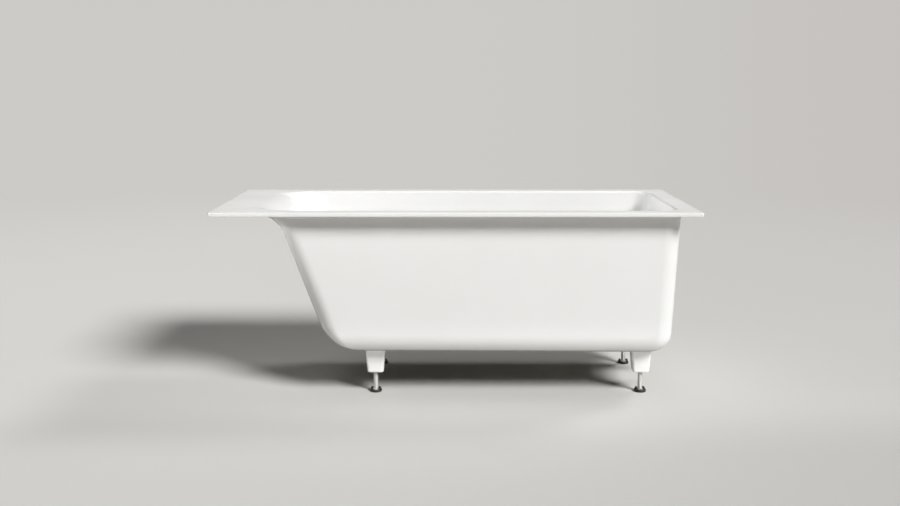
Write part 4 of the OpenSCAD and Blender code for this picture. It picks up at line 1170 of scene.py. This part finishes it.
def stretch(a, b, r, steps):
    """A plain length of the profile from a to b, in even steps."""
    return [(r, a + (b - a) * i / steps) for i in range(steps + 1)]


# %% Pipe and elbow
PIPE_R, WATER_R, BODY_R, SOCKET_IN, SOCKET_OUT = 16, 14, 17.5, 16.1, 19.5

pipe_end = run_down(PIPE_OUT) - BEND_BACK - 1
pipe = rounded([(WATER_R, 31), (PIPE_R, 31, 0.8), (PIPE_R, pipe_end, 0.8), (WATER_R, pipe_end)], 0.3)
fitted(spun("overflow_pipe", pipe, WHITE, at_pipe, 64), "tub", "white_plastic", "overflow_pipe")
elbow_path, level, turned = path_from(638, 0, PIPE_OUT)
outside = [(13.6, 0), (15.4, 0), (PIPE_R, 1), (PIPE_R, level - 1), (BODY_R, level + 0.5)]
outside += stretch(level + 1, turned - 4, BODY_R, 24)
bead = [(17.6, -3.6), (19.4, -2.6), (SOCKET_OUT, -2), (SOCKET_OUT, 17.4), (20.6, 18), (20.8, 18.8),
        (20.8, 21.2), (20.4, 22), (17, 22), (SOCKET_IN, 21)]
outside += [(r, turned + way) for r, way in bead]
inside = [(SOCKET_IN, turned), (WATER_R, turned - 0.1)] + stretch(turned - 1, level, WATER_R, 24)
inside.append((13.5, level - 1))
elbow = swept("overflow_elbow", outside + inside, elbow_path, WHITE, 64)
fitted(elbow, "tub", "white_plastic", "overflow_elbow")

# %% Pipe nuts and seals
def pipe_nut(name, place):
    """A nut over a pipe's socket, with grip ribs round it."""
    profile = [(19.55, -11), (20.6, -11), (21.8, -10, 0.6), (21.8, 4.6, 0.8), (20.2, 7, 0.8),
               (SOCKET_IN, 7), (SOCKET_IN, 4), (19.55, 4)]
    shell = spun(name, rounded(profile, 0.3), WHITE, place, 96)
    ribs = copies(disc("rib", 1.3, -9.2, 4, (0, 0, 0), sides=10), 24, 21.7, WHITE, place)
    return fitted(joined(name, [shell, ribs]), "tub", "white_plastic", name)


NUT_AT = {"top": at_pipe @ Matrix.Translation((0, 0, 50)),
          "low": Matrix.Translation((657, 0, PIPE_Z)) @ AHEAD}
SEAL_PROFILE = [(16.05, 0), (SOCKET_OUT, 0), (SOCKET_OUT, 4), (16.05, 4)]

for name, place in NUT_AT.items():
    pipe_nut(f"pipe_nut_{name}", place)
    seal = spun(f"pipe_seal_{name}", rounded(SEAL_PROFILE, 0.5), RUBBER, place, 64)
    fitted(seal, "tub", "seal_rubber", f"pipe_seal_{name}")

# %% Cable
SHEATH_R, SHEATH_END_R = 3, 2.7

cable_path, level, turned = path_from(643, CABLE_Y, CABLE_OUT)
top = turned + run_down(CABLE_OUT) - BEND_BACK - 15
sheath = [(0, 0), (SHEATH_END_R, 0), (SHEATH_R, 0.4)]
sheath += stretch(10, level, SHEATH_R, 2) + stretch(level + 2, turned - 2, SHEATH_R, 20)
sheath += stretch(turned, top - 0.4, SHEATH_R, 6) + [(SHEATH_END_R, top), (0, top)]
cable = swept("bowden_cable", sheath, cable_path, SHEATH, 24)


def ferrule(way):
    """A metal sleeve round the sheath, seven millimetres long."""
    profile = [(2.9, way - 3.5), (3.9, way - 3.5), (3.9, way + 3.5), (2.9, way + 3.5)]
    return swept("ferrule", rounded(profile, 0.3), cable_path, STAINLESS, 24)


cable = joined("bowden_cable", [cable, ferrule(14), ferrule(top - 14)])
fitted(cable, "tub", "cable_sheath", "bowden_cable")

# %% Leg inserts
pieces = []
for x, y in LEG_AT.values():
    sleeve = [(8.05, 71), (9, LEG_Z, 0.1), (12, LEG_Z, 0.4), (12, 102, 0.4), (8.05, 102)]
    pieces.append(spun("sleeve", rounded(sleeve, 0.2), BRASS, Matrix.Translation((x, y, 0)), 64))
fitted(joined("leg_inserts", pieces), "tub", "insert_brass", "leg_inserts")

# %% [markdown]
# ## Floor and light
# The studio floor is pale grey. Close to the tub it takes the shadow, and further out it fades into
# the backdrop's own tone, so that no horizon shows. As the camera sees it, the floor is also painted
# darker towards the right and further in front of the tub: painted shade. One broad lamp stands far
# off at the right, in front of the tub and above it, and a weak one stands behind it at the same side,
# so that the shadow has a dark core. A narrow lamp at the left looks over the rim at the waste end, a
# weak strip near the floor lights the feet, and a faint sky fills the shadows from above.

# %% Backdrop tone
BACKDROP_TONES = (0.603, 0.596, 0.571), (0.565, 0.541, 0.521)


def backdrop_tone(tree, direction):
    """The backdrop's own light: warm grey, a little pinker towards the right."""
    return mixed(tree, ramp(tree, parts(tree, direction)["X"], 0.0, 0.45), *BACKDROP_TONES)


def seen_rays(tree):
    """One for the rays that show the backdrop: the camera's own, and those off gloss or through glass."""
    path = tree.nodes.new("ShaderNodeLightPath")
    seen = path.outputs["Is Camera Ray"]
    for kind in ("Is Glossy Ray", "Is Transmission Ray"):
        either = node(tree, "ShaderNodeMath", operation="MAXIMUM")
        tree.links.new(seen, either.inputs[0])
        tree.links.new(path.outputs[kind], either.inputs[1])
        seen = either.outputs[0]
    return seen


# %% Floor
# The floor as the camera sees it is painted darker to the right and further in front: painted shade.
REAR_TONES_WITH_PAINTED_SHADE = (0.73, 0.722, 0.693), (0.655, 0.648, 0.622)
FRONT_TONES_WITH_PAINTED_SHADE = (0.685, 0.677, 0.650), (0.585, 0.579, 0.556)
BOUNCE_TONE = (0.5, 0.494, 0.476)
FLOOR_REACH = 60


def studio_floor():
    made = bpy.data.materials.new("studio_floor")
    made.use_nodes = True
    tree = made.node_tree
    shader, out = tree.nodes["Principled BSDF"], tree.nodes["Material Output"]
    place = tree.nodes.new("ShaderNodeTexCoord").outputs["Object"]
    aside = ramp(tree, parts(tree, place)["X"], -1.5, 1.5)
    forward = ramp(tree, parts(tree, place)["Y"], -0.3, -0.8)
    # Painted shade: the camera's floor colour darkens towards the right and further in front.
    seen = mixed(tree, forward, mixed(tree, aside, *REAR_TONES_WITH_PAINTED_SHADE), mixed(tree, aside, *FRONT_TONES_WITH_PAINTED_SHADE))
    tree.links.new(mixed(tree, seen_rays(tree), BOUNCE_TONE, seen), shader.inputs["Base Color"])
    shader.inputs["Roughness"].default_value = 0.9
    shader.inputs["Specular IOR Level"].default_value = 0.1
    glow = node(tree, "ShaderNodeEmission", Strength=1.0)
    shifted = node(tree, "ShaderNodeVectorMath", operation="ADD")
    shifted.inputs[1].default_value = (0, 4, 0)
    unit = node(tree, "ShaderNodeVectorMath", operation="NORMALIZE")
    tree.links.new(place, shifted.inputs[0])
    tree.links.new(shifted.outputs[0], unit.inputs[0])
    tree.links.new(backdrop_tone(tree, unit.outputs[0]), glow.inputs["Color"])
    far = node(tree, "ShaderNodeVectorMath", operation="LENGTH")
    tree.links.new(place, far.inputs[0])
    fade = ramp(tree, far.outputs["Value"], 2.0, 7.0)
    mix = tree.nodes.new("ShaderNodeMixShader")
    tree.links.new(fade, mix.inputs[0])
    tree.links.new(shader.outputs[0], mix.inputs[1])
    tree.links.new(glow.outputs[0], mix.inputs[2])
    tree.links.new(mix.outputs[0], out.inputs["Surface"])
    return made


corners = [(x * FLOOR_REACH, y * FLOOR_REACH, 0) for x, y in ((-1, -1), (1, -1), (1, 1), (-1, 1))]
floor = new_mesh_object("floor", corners, [(0, 1, 2, 3)], studio_floor())

# %% Lamps
def lamp(name, kind, energy, direction, at=(0, 0, 0), **settings):
    """A lamp whose light comes from a direction. Suns are given by watt a square metre."""
    data = bpy.data.lights.new(name, kind)
    data.energy = energy
    for key, value in settings.items():
        setattr(data, key, value)
    obj = bpy.data.objects.new(name, data)
    bpy.context.scene.collection.objects.link(obj)
    obj.location = at
    obj.rotation_euler = Vector(direction).to_track_quat("Z", "Y").to_euler()
    return obj


lamp("broad_lamp", "SUN", 3.65, (0.88, -0.93, 1.0), angle=radians(20))
lamp("rear_lamp", "SUN", 0.7, (0.85, 0.5, 1.0), angle=radians(16))
side_at, side_aim = Vector((-6, -0.9, 1.75)), Vector((0.7, 0, 0.75))
side = lamp("side_lamp", "SPOT", 2060, side_at - side_aim, side_at, spot_size=radians(9),
            spot_blend=1.0, shadow_soft_size=0.5)
low = lamp("low_strip", "AREA", 0.36, (0, -1, 0), (0.2, -2.6, 0.1), shape="RECTANGLE", size=2.4,
           size_y=0.1, spread=radians(8))
for one in (side, low):
    one.visible_camera = False

# %% Sky
world = bpy.data.worlds.new("sky")
bpy.context.scene.world = world
world.use_nodes = True
tree = world.node_tree
ground = tree.nodes["Background"]
ground.inputs["Color"].default_value = (0.98, 0.985, 1.0, 1)
way = tree.nodes.new("ShaderNodeTexCoord").outputs["Generated"]
tree.links.new(ramp(tree, parts(tree, way)["Z"], 0.3, 1.0, 0.0, 0.06), ground.inputs["Strength"])
seen = node(tree, "ShaderNodeBackground", Strength=1.0)
tree.links.new(backdrop_tone(tree, way), seen.inputs["Color"])
mix = tree.nodes.new("ShaderNodeMixShader")
tree.links.new(seen_rays(tree), mix.inputs[0])
tree.links.new(ground.outputs[0], mix.inputs[1])
tree.links.new(seen.outputs[0], mix.inputs[2])
tree.links.new(mix.outputs[0], tree.nodes["World Output"].inputs["Surface"])
bpy.context.scene.view_settings.view_transform = "Standard"
